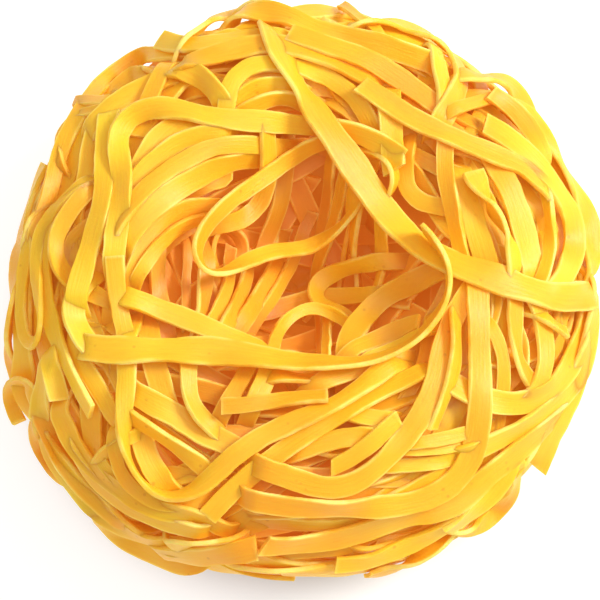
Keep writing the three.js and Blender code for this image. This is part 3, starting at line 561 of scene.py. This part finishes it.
def through_points(points):
    """A centripetal Catmull-Rom curve through the points, as closely spaced points: between two of them, the
    cubic whose end slopes come from their neighbours, with a parameter that grows by each chord's root."""
    ends = np.concatenate([2 * points[:1] - points[1:2], points, 2 * points[-1:] - points[-2:-1]])
    roots = np.linalg.norm(np.diff(ends, axis=0), axis=1) ** 0.5
    steps = np.linspace(0, 1, CURVE_STEPS, endpoint=False)[None, :, None]
    before, during, after = (roots[:-2, None, None], roots[1:-1, None, None], roots[2:, None, None])
    p0, p1, p2, p3 = (ends[:-3, None], ends[1:-2, None], ends[2:-1, None], ends[3:, None])
    slope1 = ((p1 - p0) / before - (p2 - p0) / (before + during) + (p2 - p1) / during) * during
    slope2 = ((p2 - p1) / during - (p3 - p1) / (during + after) + (p3 - p2) / after) * during
    cubic = (2 * p1 - 2 * p2 + slope1 + slope2) * steps ** 3
    cubic = cubic + (-3 * p1 + 3 * p2 - 2 * slope1 - slope2) * steps ** 2 + slope1 * steps + p1
    return np.concatenate([cubic.reshape(-1, 3), points[-1:]])


def evenly(points, spacing):
    """Points on the same line, evenly spaced along it."""
    lengths = along_lengths(points)
    count = max(FEWEST_STEPS, math.ceil(lengths[-1] / spacing))
    marks = np.linspace(0, lengths[-1], count + 1)
    return np.stack([np.interp(marks, lengths, points[:, axis]) for axis in range(3)], axis=1)


def spread(values, count):
    """A few values, evenly spaced from a ribbon's first end to its last, at each of its stations."""
    return np.interp(np.linspace(0, 1, count), np.linspace(0, 1, len(values)), values)


def run_on(points, ends):
    """The line with a straight piece added at each tucked end."""
    steps = np.arange(1, round(TUCK_LENGTH / STATION) + 1)[:, None] * STATION
    line = points
    if ends[0]:
        line = np.concatenate([points[0] + unit(points[0] - points[2]) * steps[::-1], line])
    if ends[1]:
        line = np.concatenate([line, points[-1] + unit(points[-1] - points[-3]) * steps])
    return line


def tuck_shares(count, ends):
    """How far each station is tucked in: 1 at a tucked end, and by a smooth step 0 from TUCK_LENGTH on."""
    marks = np.arange(count) * STATION / TUCK_LENGTH
    shares = np.zeros(count)
    for tucked, near in zip(ends, (marks, marks[::-1])):
        if tucked:
            ramp = np.clip(near, 0, 1)
            shares = np.maximum(shares, 1 - ramp * ramp * (3 - 2 * ramp))
    return shares


class Course:
    """A ribbon's stations: their feet on the bed, the bed's normals there, the ways along and across, and
    the lean. A flat ribbon bends only across its face, so the tighter it turns in the bed's surface, the
    more it leans: by the arc tangent of its turn times TURN_ON_EDGE, on top of its own leans."""

    def __init__(self, hung, lean_stops):
        self.feet = onto_bed(hung)
        self.normals = bed_normal(self.feet)
        self.along = unit(np.gradient(self.feet, axis=0))
        self.across = unit(np.cross(self.normals, self.along))
        turns = dot(np.gradient(self.along, axis=0), self.across) / STATION
        turns = smoothed(turns, TURN_SMOOTHING)
        self.leans = -np.arctan(turns * TURN_ON_EDGE) + np.radians(spread(lean_stops, len(hung)))

    def settle(self, clear, roll, tallest, width):
        """Finds each station's height, as that of a stretched string over what the ribbon lies on: round
        after round, it becomes the mean of its neighbours' less some slack, but never less than what holds
        it up. Where it doesn't stand clear of the heap, it also rolls a little and tips with what is under
        it."""
        offsets = np.linspace(-0.5, 0.5, PROBES_ACROSS)[:, None] * width
        under = relief.at(self.feet + offsets[..., None] * self.across)
        tips = smoothed((under[-1] - under[0]) / width, TIP_SMOOTHING)
        tips = np.clip(tips, -STEEPEST_TIP, STEEPEST_TIP)
        lying = 1 - np.clip(clear / TOP_LAYER - 1, 0, 1)
        self.leans = self.leans + lying * (TIP_SHARE * np.arctan(tips) + roll)
        self.rises = offsets * np.sin(self.leans)
        self.spans = self.feet + (offsets * np.cos(self.leans))[..., None] * self.across
        rest = relief.at(self.spans) - self.rises + RIBBON_THICKNESS / 2 - REST_DEPTH
        floors = np.minimum(tallest, rest.max(axis=0))
        held = np.where(clear > TOP_LAYER, np.maximum(floors, clear - TOP_LAYER * lying), floors)
        self.heights = held
        for _ in range(STRETCHES):
            padded = np.concatenate([self.heights[:1], self.heights, self.heights[-1:]])
            self.heights = np.maximum(held, (padded[:-2] + padded[2:]) / 2 - SLACK)
        self.heights = smoothed(self.heights, HEIGHT_SMOOTHING)


def drape(guide, tallest, width=RIBBON_WIDTH, lean_stops=FLAT, ends=CUT, seen=False):
    """Lays a ribbon along a guide line and returns its places and the normals of its face. Its tucked ends
    dive into the heap. A seen ribbon is then slid along the lines of sight and laid again, so that it shows
    where its guide does, however high it lies."""
    hung = run_on(evenly(through_points(guide), STATION), ends)
    clear = bed_distance(hung)
    roll = ROLL * smoothed(rolls.normal(size=len(hung)), ROLL_SMOOTHING)
    course = Course(hung, lean_stops)
    course.settle(clear, roll, tallest, width)
    for _ in range(SLIDES if seen else 0):
        course = Course(smoothed(on_sight_lines(hung, course.heights), SLIDE_SMOOTHING), lean_stops)
        course.settle(clear, roll, tallest, width)
    heights = course.heights - (course.heights + TUCK_DEPTH) * tuck_shares(len(hung), ends)
    tops = heights + course.rises + RIBBON_THICKNESS / 2
    for ahead in (-0.5, 0.0):       # in stations, so that no cell between two of them is missed
        relief.raise_to(course.spans + ahead * STATION * course.along, tops)
    faces = np.cos(course.leans)[:, None] * course.normals - np.sin(course.leans)[:, None] * course.across
    return course.feet + heights[:, None] * course.normals, faces


def random_from(seed):
    """The solid's small random source: a 32-bit counter, mixed by multiplying and shifting."""
    state = seed
    mask = 0xFFFFFFFF
    while True:
        state = (state + 0x6D2B79F5) & mask
        mixed = ((state ^ (state >> 15)) * (1 | state)) & mask
        mixed = ((mixed + ((mixed ^ (mixed >> 7)) * (61 | mixed) & mask)) & mask) ^ mixed
        yield (mixed ^ (mixed >> 14)) / 2 ** 32


def between(limits, share):
    """The value at a share of the way from the first limit to the second."""
    return limits[0] + (limits[1] - limits[0]) * share


def winding(index, count, latitudes, draws):
    """Guide points of a winding: an arc of a small circle about a leaning axis, with a slow wobble."""
    tilt = between(WINDING_TILT, next(draws))
    heading = 2 * math.pi * next(draws)
    axis = np.array([math.sin(tilt) * math.cos(heading), math.sin(tilt) * math.sin(heading), math.cos(tilt)])
    first = unit(np.cross([0.0, 1.0, 0.0], axis))
    second = np.cross(axis, first)
    latitude = between(latitudes, (index + 0.5) / count)
    start = GOLDEN_TURN * index
    sweep = between(WINDING_SWEEP, next(draws))
    phase = 2 * math.pi * next(draws)
    turn = start + sweep * np.linspace(0, 1, WINDING_GUIDES)[:, None]
    lift = latitude + WINDING_WOBBLE * np.sin(WINDING_WOBBLES * turn + phase)
    directions = (first * np.cos(turn) + second * np.sin(turn)) * np.cos(lift) + axis * np.sin(lift)
    return bed_along(unit(directions))


def deep_guide(random):
    """Guide points of a ribbon deep in the heap, through a random place of the surface: an arc about an axis
    between the nest's own and that of the great circle through the place on its heading, with a sway."""
    height = random.uniform(*DEEP_LEVEL)
    bearing = random.uniform(0, 2 * math.pi)
    flat = math.sqrt(1 - height * height)
    place = np.array([flat * math.cos(bearing), flat * math.sin(bearing), height])
    east = unit(np.array([-math.sin(bearing), math.cos(bearing), 0.0]))
    north = np.cross(place, east)
    angle = random.normal(0, DEEP_HEADING)
    great = np.cross(place, math.cos(angle) * east + math.sin(angle) * north)
    axis = unit((1 - DEEP_WINDING) * great + DEEP_WINDING * np.array([0.0, 0.0, 1.0]))
    radius = math.sqrt(max(DEEP_TIGHTEST, 1 - np.dot(axis, place) ** 2))
    sweep = min(between(DEEP_LENGTH, random.uniform()) / (BED_RADIUS * radius), DEEP_LONGEST)
    turn = np.linspace(-sweep / 2, sweep / 2, DEEP_GUIDES)[:, None]
    along = np.dot(axis, place) * axis
    out = place - along
    ahead = np.cross(axis, out)
    sway = DEEP_SWAY * np.sin(turn * random.uniform(*DEEP_SWAYS) + random.uniform(*DEEP_PHASE))
    directions = along + out * np.cos(turn) + ahead * np.sin(turn) + sway * axis
    return bed_along(unit(directions))


# ---------------------------------------------------------------- meshes

# What each corner of a mesh tells its material: how far it is along its ribbon in millimetres, and across it
# from -1 to 1, whether it is on a cut edge, its ribbon's own number from 0 to 1, and how high over the bed
# its ribbon is there.
RIBBON_VALUES = ("along", "across", "edge", "tone", "high")

# A ribbon's section: shares of its half width and half thickness, round from the lower left corner.
SECTION = np.array([
    (-0.96, -1.0), (-0.33, -1.0), (0.33, -1.0), (0.96, -1.0), (1.0, -0.6), (1.0, 0.6),
    (0.96, 1.0), (0.33, 1.0), (-0.33, 1.0), (-0.96, 1.0), (-1.0, 0.6), (-1.0, -0.6)])
ON_CUT_EDGE = (np.abs(SECTION[:, 0]) == 1.0).astype(float)
CAP = np.array([(11, 10, 9, 0), (0, 9, 8, 1), (1, 8, 7, 2), (2, 7, 6, 3), (3, 6, 5, 4)])


def ribbon_arrays(laid, width, random, spacing=FINE_STATION):
    """A ribbon's corners, quads and values for its material, from its places and face normals.

    The section is carried along the places: a corner is place + half width * across * side + (half
    thickness * up + camber * (1 - across squared)) * face. The width wavers, the two cut edges are a little
    ragged, and each end is cut at a slant."""
    line, normals = laid
    lengths = along_lengths(line)
    places = evenly(through_points(line), spacing)
    marks = np.linspace(0, lengths[-1], len(places))
    faces = np.stack([np.interp(marks, lengths, normals[:, axis]) for axis in range(3)], axis=1)
    count = len(places)
    along = unit(np.gradient(places, axis=0))
    sides = unit(np.cross(faces, along))
    faces = np.cross(along, sides)
    waver = 1 + WIDTH_WAVER * smoothed(random.normal(size=count), WIDTH_SMOOTHING)
    halves = [width / 2 * waver + RAGGED_EDGE * smoothed(random.normal(size=count), RAGGED_SMOOTHING)
              for _ in range(2)]
    half = np.where(SECTION[None, :, 0] < 0, halves[0][:, None], halves[1][:, None])
    swell = 1 + THICKNESS_WAVER * smoothed(random.normal(size=count), THICKNESS_SMOOTHING)
    thick = RIBBON_THICKNESS / 2 * swell
    camber = random.uniform(*CAMBER) * (1 - SECTION[:, 0] ** 2)
    across = (SECTION[None, :, 0] * half)[..., None] * sides[:, None, :]
    up = (SECTION[None, :, 1] * thick[:, None] + camber)[..., None] * faces[:, None, :]
    corners = places[:, None, :] + across + up
    slants = np.tan(np.radians(random.uniform(-SLANTEST_CUT, SLANTEST_CUT, 2)))
    for end, slant in zip((0, -1), slants):
        corners[end] += (SECTION[:, :1] * width / 2 * slant) * along[end]
    size = len(SECTION)
    ring = np.arange(size)
    rows = (np.arange(count - 1) * size)[:, None]
    after = np.roll(ring, -1)
    walls = np.stack([rows + ring, rows + after, rows + size + after, rows + size + ring], axis=-1)
    last = (count - 1) * size
    quads = np.concatenate([walls.reshape(-1, 4), CAP, CAP[:, ::-1] + last])
    edge = np.tile(ON_CUT_EDGE, count)
    edge[:size] = 1.0
    edge[last:] = 1.0
    tone = np.full(count * size, random.uniform())
    high = np.repeat(bed_distance(places), size)
    values = (np.repeat(marks, size), np.tile(SECTION[:, 0], count), edge, tone, high)
    return corners.reshape(-1, 3), quads, dict(zip(RIBBON_VALUES, values))


def piece_from(name, parts, material):
    """Joins (corners, quads, values) into one mesh object, in metres, with smooth faces and sharp corners.
    What would reach through the table is pressed flat on it."""
    starts = np.cumsum([0] + [len(p[0]) for p in parts[:-1]])
    corners = np.concatenate([p[0] for p in parts]) * MM
    corners[:, 2] = np.maximum(corners[:, 2], 0.0)
    quads = np.concatenate([p[1] + start for p, start in zip(parts, starts)])
    mesh = bpy.data.meshes.new(name)
    mesh.vertices.add(len(corners))
    mesh.vertices.foreach_set("co", corners.astype(np.float32).ravel())
    mesh.loops.add(quads.size)
    mesh.loops.foreach_set("vertex_index", quads.astype(np.int32).ravel())
    mesh.polygons.add(len(quads))
    mesh.polygons.foreach_set("loop_start", np.arange(0, quads.size, 4, dtype=np.int32))
    mesh.update(calc_edges=True)
    for value in RIBBON_VALUES:
        layer = mesh.attributes.new(value, "FLOAT", "POINT")
        layer.data.foreach_set("value", np.concatenate([p[2][value] for p in parts]).astype(np.float32))
    mesh.polygons.foreach_set("use_smooth", np.ones(len(quads), dtype=bool))
    mesh.set_sharp_from_angle(angle=SHARP_ANGLE)
    mesh.materials.append(material)
    piece = bpy.data.objects.new(name, mesh)
    bpy.context.scene.collection.objects.link(piece)
    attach(piece, "root")
    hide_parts(NODE)


# ---------------------------------------------------------------- shader wiring

# The sockets that a colour mix uses: its factor, its two colours, and its result.
MIX_FACTOR, MIX_FIRST, MIX_SECOND, MIX_RESULT = 0, 6, 7, 2


class Wire:
    """A socket of a shader tree that is used in sums as a number is."""

    def __init__(self, tree, socket=None):
        self.tree = tree
        self.socket = socket

    def node(self, kind, settings=None, inputs=None, output=0):
        """Adds a node, sets it up, feeds its sockets with numbers, colours or wires, and returns a wire from
        one of its outputs."""
        made = self.tree.nodes.new(kind)
        for name, value in (settings or {}).items():
            setattr(made, name, value)
        for name, value in (inputs or {}).items():
            if isinstance(value, Wire):
                self.tree.links.new(value.socket, made.inputs[name])
            else:
                made.inputs[name].default_value = value
        return Wire(self.tree, made.outputs[output])

    def _maths(self, operation, *values):
        """One Math node, which is what each sum, difference or product of wires and numbers adds."""
        return self.node("ShaderNodeMath", {"operation": operation}, dict(enumerate(values)))

    def __add__(self, other):
        return self._maths("ADD", self, other)

    def __sub__(self, other):
        return self._maths("SUBTRACT", self, other)

    def __rsub__(self, other):
        return self._maths("SUBTRACT", other, self)

    def __mul__(self, other):
        return self._maths("MULTIPLY", self, other)

    __radd__ = __add__
    __rmul__ = __mul__

    def unsigned(self):
        """Its distance from 0."""
        return self._maths("ABSOLUTE", self)

    def clamped(self):
        """Itself between 0 and 1, and no further."""
        return self.node("ShaderNodeClamp", {}, {"Value": self})

    def stepped(self, low, high):
        """0 under low, 1 over high and smooth between."""
        return self.node("ShaderNodeMapRange", {"interpolation_type": "SMOOTHSTEP"},
                         {"Value": self, "From Min": low, "From Max": high})

    def mixed(self, first, second):
        """The first colour where this wire is 0, the second where it is 1, and straight between them."""
        return self.node("ShaderNodeMix", {"data_type": "RGBA"},
                         {MIX_FACTOR: self, MIX_FIRST: first, MIX_SECOND: second}, MIX_RESULT)

    def noise(self, scale, detail):
        """Cloudy noise over the places that this wire brings, with so many clouds to a unit of them."""
        return self.node("ShaderNodeTexNoise", {}, {"Vector": self, "Scale": scale, "Detail": detail})

    def feed(self, shader, name):
        """Joins this wire to one of the shader's sockets."""
        self.tree.links.new(self.socket, shader.inputs[name])


def new_material(name, settings):
    """A material whose shader has the given settings, with a wire to start from and the shader itself."""
    material = bpy.data.materials.new(name)
    material.use_nodes = True
    shader = material.node_tree.nodes["Principled BSDF"]
    for socket, value in settings.items():
        shader.inputs[socket].default_value = value
    return material, Wire(material.node_tree), shader


def rgb(red, green, blue):
    """A colour given as screen values of 0 to 255, as linear light."""
    screen = np.array([red, green, blue]) / 255
    linear = np.where(screen <= 0.04045, screen / 12.92, ((screen + 0.055) / 1.055) ** 2.4)
    return (*linear.tolist(), 1.0)


# ---------------------------------------------------------------- materials

FACE_LIGHT = rgb(240, 203, 46)
FACE_DARK = rgb(238, 165, 34)
# painted shade: the orange that ribbons deep in the heap take on, in place of light bounced in its gaps
DEEP_PAINTED_SHADE = rgb(220, 143, 50)
# painted shade: brown on the heap's underside, near the table
UNDERSIDE_PAINTED_SHADE = rgb(150, 76, 30)         # the heap's underside
SPECK = rgb(196, 122, 30)
# paler rough dough at the rims and cut edges, which also serves as a painted highlight
PALE_EDGE_AND_HIGHLIGHT = rgb(255, 226, 124)
# the colour of the painted glow that lifts the ribbons' shadows
PAINTED_GLOW_COLOUR = rgb(216, 134, 42)

# How strongly the ribbons glow with painted orange light, which stands in for light let through and bounced
# in the heap.
DEEP_PAINTED_GLOW = 0.24
TOP_PAINTED_GLOW = 0.12

# The lines that the die leaves, in noise that is stretched along the ribbon: its places to a millimetre
# along, to half a width across, and to a ribbon's own number.
LINES_ALONG = 0.11
LINES_ACROSS = 2.6
LINES_APART = 37.0

# Patterns in the dough: how many to one of the noise's places, or to a metre, and how finely broken up.
LINES = (2.2, 4.0)
DRIFTS = (75.0, 1.0)
CLOUDS = (160.0, 3.0)
GRAIN = (2600.0, 3.0)
SPECK_PATCHES = (300.0, 1.0)
SPECKS = 520.0

# Where each mask begins and where it is full. Those on noise are in its own values, of 0 to 1.
SPECK_RIM = (0.06, 0.16)        # from a speck's middle, in shares of the way between specks
SPECK_CLOUDS = (0.5, 0.62)
# the pale rims and cut edges: paler dough and a painted highlight together
RUBBED_AND_HIGHLIT_RIM = (0.72, 0.96)       # from the ribbon's middle to its edge
RUBBED_AND_HIGHLIT_CLOUDS = (0.4, 0.62)
# where the painted shade of the deep ribbons is full and where it ends
DEEP_SHADE_TO_FACE = (-3.0, 1.6)      # heights over the bed
CUT_AND_HIGHLIT_RIM = (0.3, 0.9)
CUT_AND_HIGHLIT_CLOUDS = (0.3, 0.7)
# where the painted underside shade fades out, over the table and over the bed
UNDERSIDE_SHADE_LEVEL = (4.0, 17.0)        # heights over the table
UNDERSIDE_SHADE_HEIGHT = (0.2, 1.4)        # heights over the bed

# How much each mask does.
SPECK_STRENGTH = 0.45
# how pale the rims and cut edges are, as paler dough and painted highlight
RUBBED_AND_HIGHLIT_STRENGTH = 0.5
CUT_AND_HIGHLIT_STRENGTH = 0.6
# how dark the painted underside shade is
UNDERSIDE_SHADE_STRENGTH = 0.7

# What adds to a ribbon's light yellow, from 0 to 1: its own tone and each pattern, less a share for all.
LIGHTER_TONE = 0.5
LIGHTER_CLOUDS = 0.5
LIGHTER_DRIFTS = 1.2
LIGHTER_LINES = 0.5
DARKER = 0.9

# Roughness of the face, and what the grain and a cut edge add to it.
ROUGH_FACE = 0.36
ROUGH_GRAIN = 0.16
ROUGH_CUT = 0.2

# Fine relief: the height of the lines, and of the grain on the face and more of it on a cut edge.
BUMP_LINES = 0.5
BUMP_GRAIN = 0.22
BUMP_CUT = 0.9
BUMP_STRENGTH = 0.5
BUMP_HEIGHT = 0.22           # mm

DOUGH = {
    "Subsurface Weight": 0.55,
    "Subsurface Radius": (1.0, 0.7, 0.2),
    "Subsurface Scale": 1.5 * MM,
    "Specular IOR Level": 0.36,
    "Emission Color": PAINTED_GLOW_COLOUR,
}


def pasta_material(name, painted_glow):
    """Dried egg dough: a satin face with the faint lines of the die, a soft cloudy tone between two yellows,
    fine specks, pale worn rims and paler rough cut edges that are also a painted highlight, some light let
    through, and a painted orange glow.

    Painted shade makes it the more orange the deeper it lies in the heap, and browner underneath, near the
    table."""
    # the emission is painted light: the dough glows though it is no lamp
    material, start, shader = new_material(name, DOUGH | {"Emission Strength": painted_glow})
    along, across, cut, tone, high = (
        start.node("ShaderNodeAttribute", {"attribute_name": value}, output="Fac")
        for value in RIBBON_VALUES)
    place = start.node("ShaderNodeTexCoord", output="Object")
    on_ribbon = start.node("ShaderNodeCombineXYZ", {}, {
        "X": along * LINES_ALONG, "Y": across * LINES_ACROSS, "Z": tone * LINES_APART})
    lines = on_ribbon.noise(*LINES)
    clouds = place.noise(*CLOUDS)
    grain = place.noise(*GRAIN)
    drifts = place.noise(*DRIFTS)
    patches = place.noise(*SPECK_PATCHES)
    speck = start.node("ShaderNodeTexVoronoi", {"feature": "F1"}, {"Vector": place, "Scale": SPECKS})
    dots = (1 - speck.stepped(*SPECK_RIM)) * patches.stepped(*SPECK_CLOUDS)
    # pale rims and cut edges, partly paler dough and partly a painted highlight
    rubbed_and_highlit = across.unsigned().stepped(*RUBBED_AND_HIGHLIT_RIM) * clouds.stepped(*RUBBED_AND_HIGHLIT_CLOUDS)
    raw_edge_and_highlit = cut.stepped(*CUT_AND_HIGHLIT_RIM) * clouds.stepped(*CUT_AND_HIGHLIT_CLOUDS)
    level = start.node("ShaderNodeSeparateXYZ", {}, {"Vector": place}, output="Z")
    near_table = 1 - level.stepped(*(height * MM for height in UNDERSIDE_SHADE_LEVEL))
    # painted shade on the lower layers near the table
    underside_shade = near_table * (1 - high.stepped(*UNDERSIDE_SHADE_HEIGHT))

    light = tone * LIGHTER_TONE + clouds * LIGHTER_CLOUDS + drifts * LIGHTER_DRIFTS + lines * LIGHTER_LINES
    colour = (light - DARKER).clamped().mixed(FACE_DARK, FACE_LIGHT)
    # painted shade: the deeper a ribbon lies in the heap, the more orange it is
    colour = high.stepped(*DEEP_SHADE_TO_FACE).mixed(DEEP_PAINTED_SHADE, colour)
    # painted shade: browner under the heap, near the table
    colour = (underside_shade * UNDERSIDE_SHADE_STRENGTH).mixed(colour, UNDERSIDE_PAINTED_SHADE)
    colour = (dots * SPECK_STRENGTH).mixed(colour, SPECK)
    # pale rims and cut edges: paler rough dough, and a painted highlight
    colour = (rubbed_and_highlit * RUBBED_AND_HIGHLIT_STRENGTH + raw_edge_and_highlit * CUT_AND_HIGHLIT_STRENGTH).mixed(colour, PALE_EDGE_AND_HIGHLIGHT)
    colour.feed(shader, "Base Color")
    (ROUGH_FACE + grain * ROUGH_GRAIN + cut * ROUGH_CUT).feed(shader, "Roughness")
    height = lines * BUMP_LINES + grain * (BUMP_GRAIN + cut * BUMP_CUT)
    bump = start.node("ShaderNodeBump", {}, {
        "Strength": BUMP_STRENGTH, "Distance": BUMP_HEIGHT * MM, "Height": height})
    bump.feed(shader, "Normal")
    return material


# nearer the nest the glow is cut back, which paints shade round the nest's foot on top of its real shadow
TABLE_SHADE = 26.0           # the table glows from this far from the nest's middle
TABLE_WHITE = 40.0           # and in full from here on, which keeps it pale
TABLE_CLOUDS = (3.0, 2.0)    # to a metre, and how finely broken up
TABLE_GREYS = ((0.41, 0.41, 0.41, 1), (0.43, 0.43, 0.43, 1))
BLACK_TO_WHITE = ((0, 0, 0, 1), (1, 1, 1, 1))
TABLE_TOP = {"Roughness": 0.8, "Specular IOR Level": 0.1, "Emission Strength": 0.76}


def table_material():
    """A matt pale table that glows evenly, except near the nest's foot, where the glow fades out and so
    paints shade round it.
    """
    material, start, shader = new_material("table_white", TABLE_TOP)
    place = start.node("ShaderNodeTexCoord", output="Object")
    away = start.node("ShaderNodeVectorMath", {"operation": "LENGTH"}, {"Vector": place}, output="Value")
    place.noise(*TABLE_CLOUDS).mixed(*TABLE_GREYS).feed(shader, "Base Color")
    # the glow fades in from TABLE_SHADE to TABLE_WHITE: painted shade near the nest's foot
    away.stepped(TABLE_SHADE * MM, TABLE_WHITE * MM).mixed(*BLACK_TO_WHITE).feed(shader, "Emission Color")
    return material


# ---------------------------------------------------------------- the nest

def heart_arrays():
    """The closed heart of the heap: the bed's surface in a grid of directions from its centre, let in by the
    heart's depth and ridged like wound ribbons, by the sine of (ridges * elevation + sway * the sine of
    (sways * bearing + slant * elevation))."""
    meridians, rings = HEART_MERIDIANS, HEART_RINGS
    bearings = np.linspace(0, 2 * math.pi, meridians, endpoint=False)[None, :]
    rises = np.linspace(-math.pi / 2, math.pi / 2, rings + 2)[1:-1, None]
    directions = np.stack([np.cos(rises) * np.cos(bearings), np.cos(rises) * np.sin(bearings),
                           np.sin(rises) * np.ones_like(bearings)], axis=-1)
    surface = bed_along(directions)
    sways = HEART_SWAY * np.sin(HEART_SWAYS * bearings + rises * HEART_SLANT)
    ridges = HEART_RIDGE * np.sin(rises * HEART_RIDGES + sways)
    let_in = surface + bed_normal(surface) * (ridges - HEART_DEPTH - HEART_CLEARANCE)[..., None]
    down_and_up = np.array([[0.0, 0.0, -1.0], [0.0, 0.0, 1.0]])
    poles = bed_along(down_and_up) - down_and_up * HEART_DEPTH
    corners = np.concatenate([let_in.reshape(-1, 3), poles])
    index = np.arange(rings * meridians).reshape(rings, meridians)
    right = np.roll(index, -1, axis=1)
    walls = np.stack([index[:-1], right[:-1], right[1:], index[1:]], axis=-1).reshape(-1, 4)
    low, high = rings * meridians, rings * meridians + 1
    first = np.arange(0, meridians, 2)
    second = first + 1
    third = (first + 2) % meridians
    bottom, top = index[0], index[-1]
    foot = np.stack([np.full(len(first), low), bottom[third], bottom[second], bottom[first]], axis=-1)
    crown = np.stack([np.full(len(first), high), top[first], top[second], top[third]], axis=-1)
    values = {name: np.zeros(len(corners)) for name in RIBBON_VALUES}
    values["along"] = corners[:, 0]
    values["high"] -= HEART_DEPTH
    return corners, np.concatenate([walls, foot, crown]), values


def deep_ribbons():
    """The ribbons inside the heap, each draped along a random guide."""
    random = np.random.default_rng(DEEP_SEED)
    made = []
    for _ in range(DEEP_RIBBONS):
        laid = drape(deep_guide(random), TALLEST_DEEP)
        made.append(ribbon_arrays(laid, RIBBON_WIDTH * random.uniform(*DEEP_WIDTH), random, COARSE_STATION))
    return made


def wound_ribbons(count, seed, latitudes, tallest):
    """Ribbons round the sides, each draped along a winding."""
    random = np.random.default_rng(seed)
    draws = random_from(seed)
    made = []
    for index in range(count):
        laid = drape(winding(index, count, latitudes, draws), tallest)
        made.append(ribbon_arrays(laid, RIBBON_WIDTH, random))
    return made


def partner_ribbons():
    """Two partners of each long top ribbon, one on either side of it, where they stay off the hollow."""
    random = np.random.default_rng(PARTNER_SEED)
    made = []
    for _, _, _, route in TOP_ROUTES.values():
        feet = onto_bed(evenly(through_points(sighted(route)), PARTNER_STATION))
        if along_lengths(feet)[-1] < PARTNER_LENGTH:
            continue
        for direction in (-1, 1):
            width = random.uniform(*PARTNER_WIDTHS)
            shift = direction * random.uniform(*PARTNER_SHIFT) * RIBBON_WIDTH
            slant = random.uniform(-PARTNER_SLANT, PARTNER_SLANT)
            aside = shift + slant * np.linspace(-1, 1, len(feet))[:, None]
            sides = unit(np.cross(bed_normal(feet), np.gradient(feet, axis=0)))
            guide = onto_bed(feet + aside * sides)
            if np.hypot(guide[:, 0] - HOLLOW_X, guide[:, 1] - HOLLOW_Y).min() < PARTNER_CLEARANCE:
                continue
            made.append(ribbon_arrays(drape(guide, TALLEST_PARTNER, width, FLAT, TUCKED), width, random))
    return made


def top_ribbons():
    """The ribbons that show, each draped so that it is seen on its route."""
    random = np.random.default_rng(TOP_SEED)
    made = []
    for width, lean_stops, ends, route in TOP_ROUTES.values():
        laid = drape(sighted(route), TALLEST_TOP, width, lean_stops, ends, seen=True)
        made.append(ribbon_arrays(laid, width, random))
    return made


# the deep pieces glow more strongly with painted light than the top ones
deep_pasta = pasta_material("pasta_deep", DEEP_PAINTED_GLOW)
top_pasta = pasta_material("pasta_top", TOP_PAINTED_GLOW)

piece_from("nest_heart", [heart_arrays()], deep_pasta)
piece_from("ribbons_deep", deep_ribbons(), deep_pasta)
piece_from("ribbons_under",
           wound_ribbons(UNDER_WINDINGS, UNDER_SEED, UNDER_LATITUDE, TALLEST_PARTNER), deep_pasta)
piece_from("ribbons_partner", partner_ribbons(), top_pasta)
piece_from("ribbons_side",
           wound_ribbons(WINDINGS, WINDING_SEED, WINDING_LATITUDE, TALLEST_SIDE), top_pasta)
piece_from("ribbons_top", top_ribbons(), top_pasta)


# ---------------------------------------------------------------- table, light and camera

TABLE_HALF = 3000.0          # half of its side
ROOM_COLOUR = (1, 0.97, 0.91, 1)
ROOM_STRENGTH = 0.54
LIGHT_TARGET = (0, 0, 20)

# The softboxes: place, width, power in watts, and colour.
SOFTBOXES = {
    "key": ((500, 120, 520), 240, 4.7, (1, 0.99, 0.95)),
    "top": ((100, 0, 700), 500, 1.2, (1, 1, 0.97)),
}
NEAREST_SEEN = 10.0          # by the camera


def metres(place):
    """A place given in millimetres, in metres."""
    return Vector([part * MM for part in place])


def table():
    """A square of table at height 0, with the nest on its middle."""
    half = TABLE_HALF * MM
    mesh = bpy.data.meshes.new("table")
    corners = [(-half, -half, 0), (half, -half, 0), (half, half, 0), (-half, half, 0)]
    mesh.from_pydata(corners, [], [(0, 1, 2, 3)])
    mesh.materials.append(table_material())
    made = bpy.data.objects.new("table", mesh)
    bpy.context.scene.collection.objects.link(made)


def stand(name, data, place, target):
    """Sets a light or a camera up at a place, looking at its target."""
    made = bpy.data.objects.new(name, data)
    made.location = metres(place)
    made.rotation_euler = (metres(target) - made.location).to_track_quat("-Z", "Y").to_euler()
    bpy.context.scene.collection.objects.link(made)
    return made


def lighting():
    """An even warm room light, and the round softboxes."""
    world = bpy.data.worlds.new("studio")
    world.use_nodes = True
    room = world.node_tree.nodes["Background"]
    room.inputs["Color"].default_value = ROOM_COLOUR
    room.inputs["Strength"].default_value = ROOM_STRENGTH
    bpy.context.scene.world = world
    for name, (place, width, power, colour) in SOFTBOXES.items():
        lamp = bpy.data.lights.new(name, "AREA")
        lamp.shape = "DISK"
        lamp.size = width * MM
        lamp.energy = power
        lamp.color = colour
        stand(name, lamp, place, LIGHT_TARGET)
    bpy.context.scene.view_settings.view_transform = "Standard"


def camera():
    """A camera at the eye, whose frame takes in SIGHT_WIDTH of the sight plane."""
    lens = bpy.data.cameras.new("camera")
    lens.sensor_width = SENSOR_WIDTH
    lens.lens = SENSOR_WIDTH * SIGHT_DISTANCE / SIGHT_WIDTH
    lens.clip_start = NEAREST_SEEN * MM
    bpy.context.scene.camera = stand("camera", lens, EYE, SIGHT_TARGET)


table()
lighting()
camera()
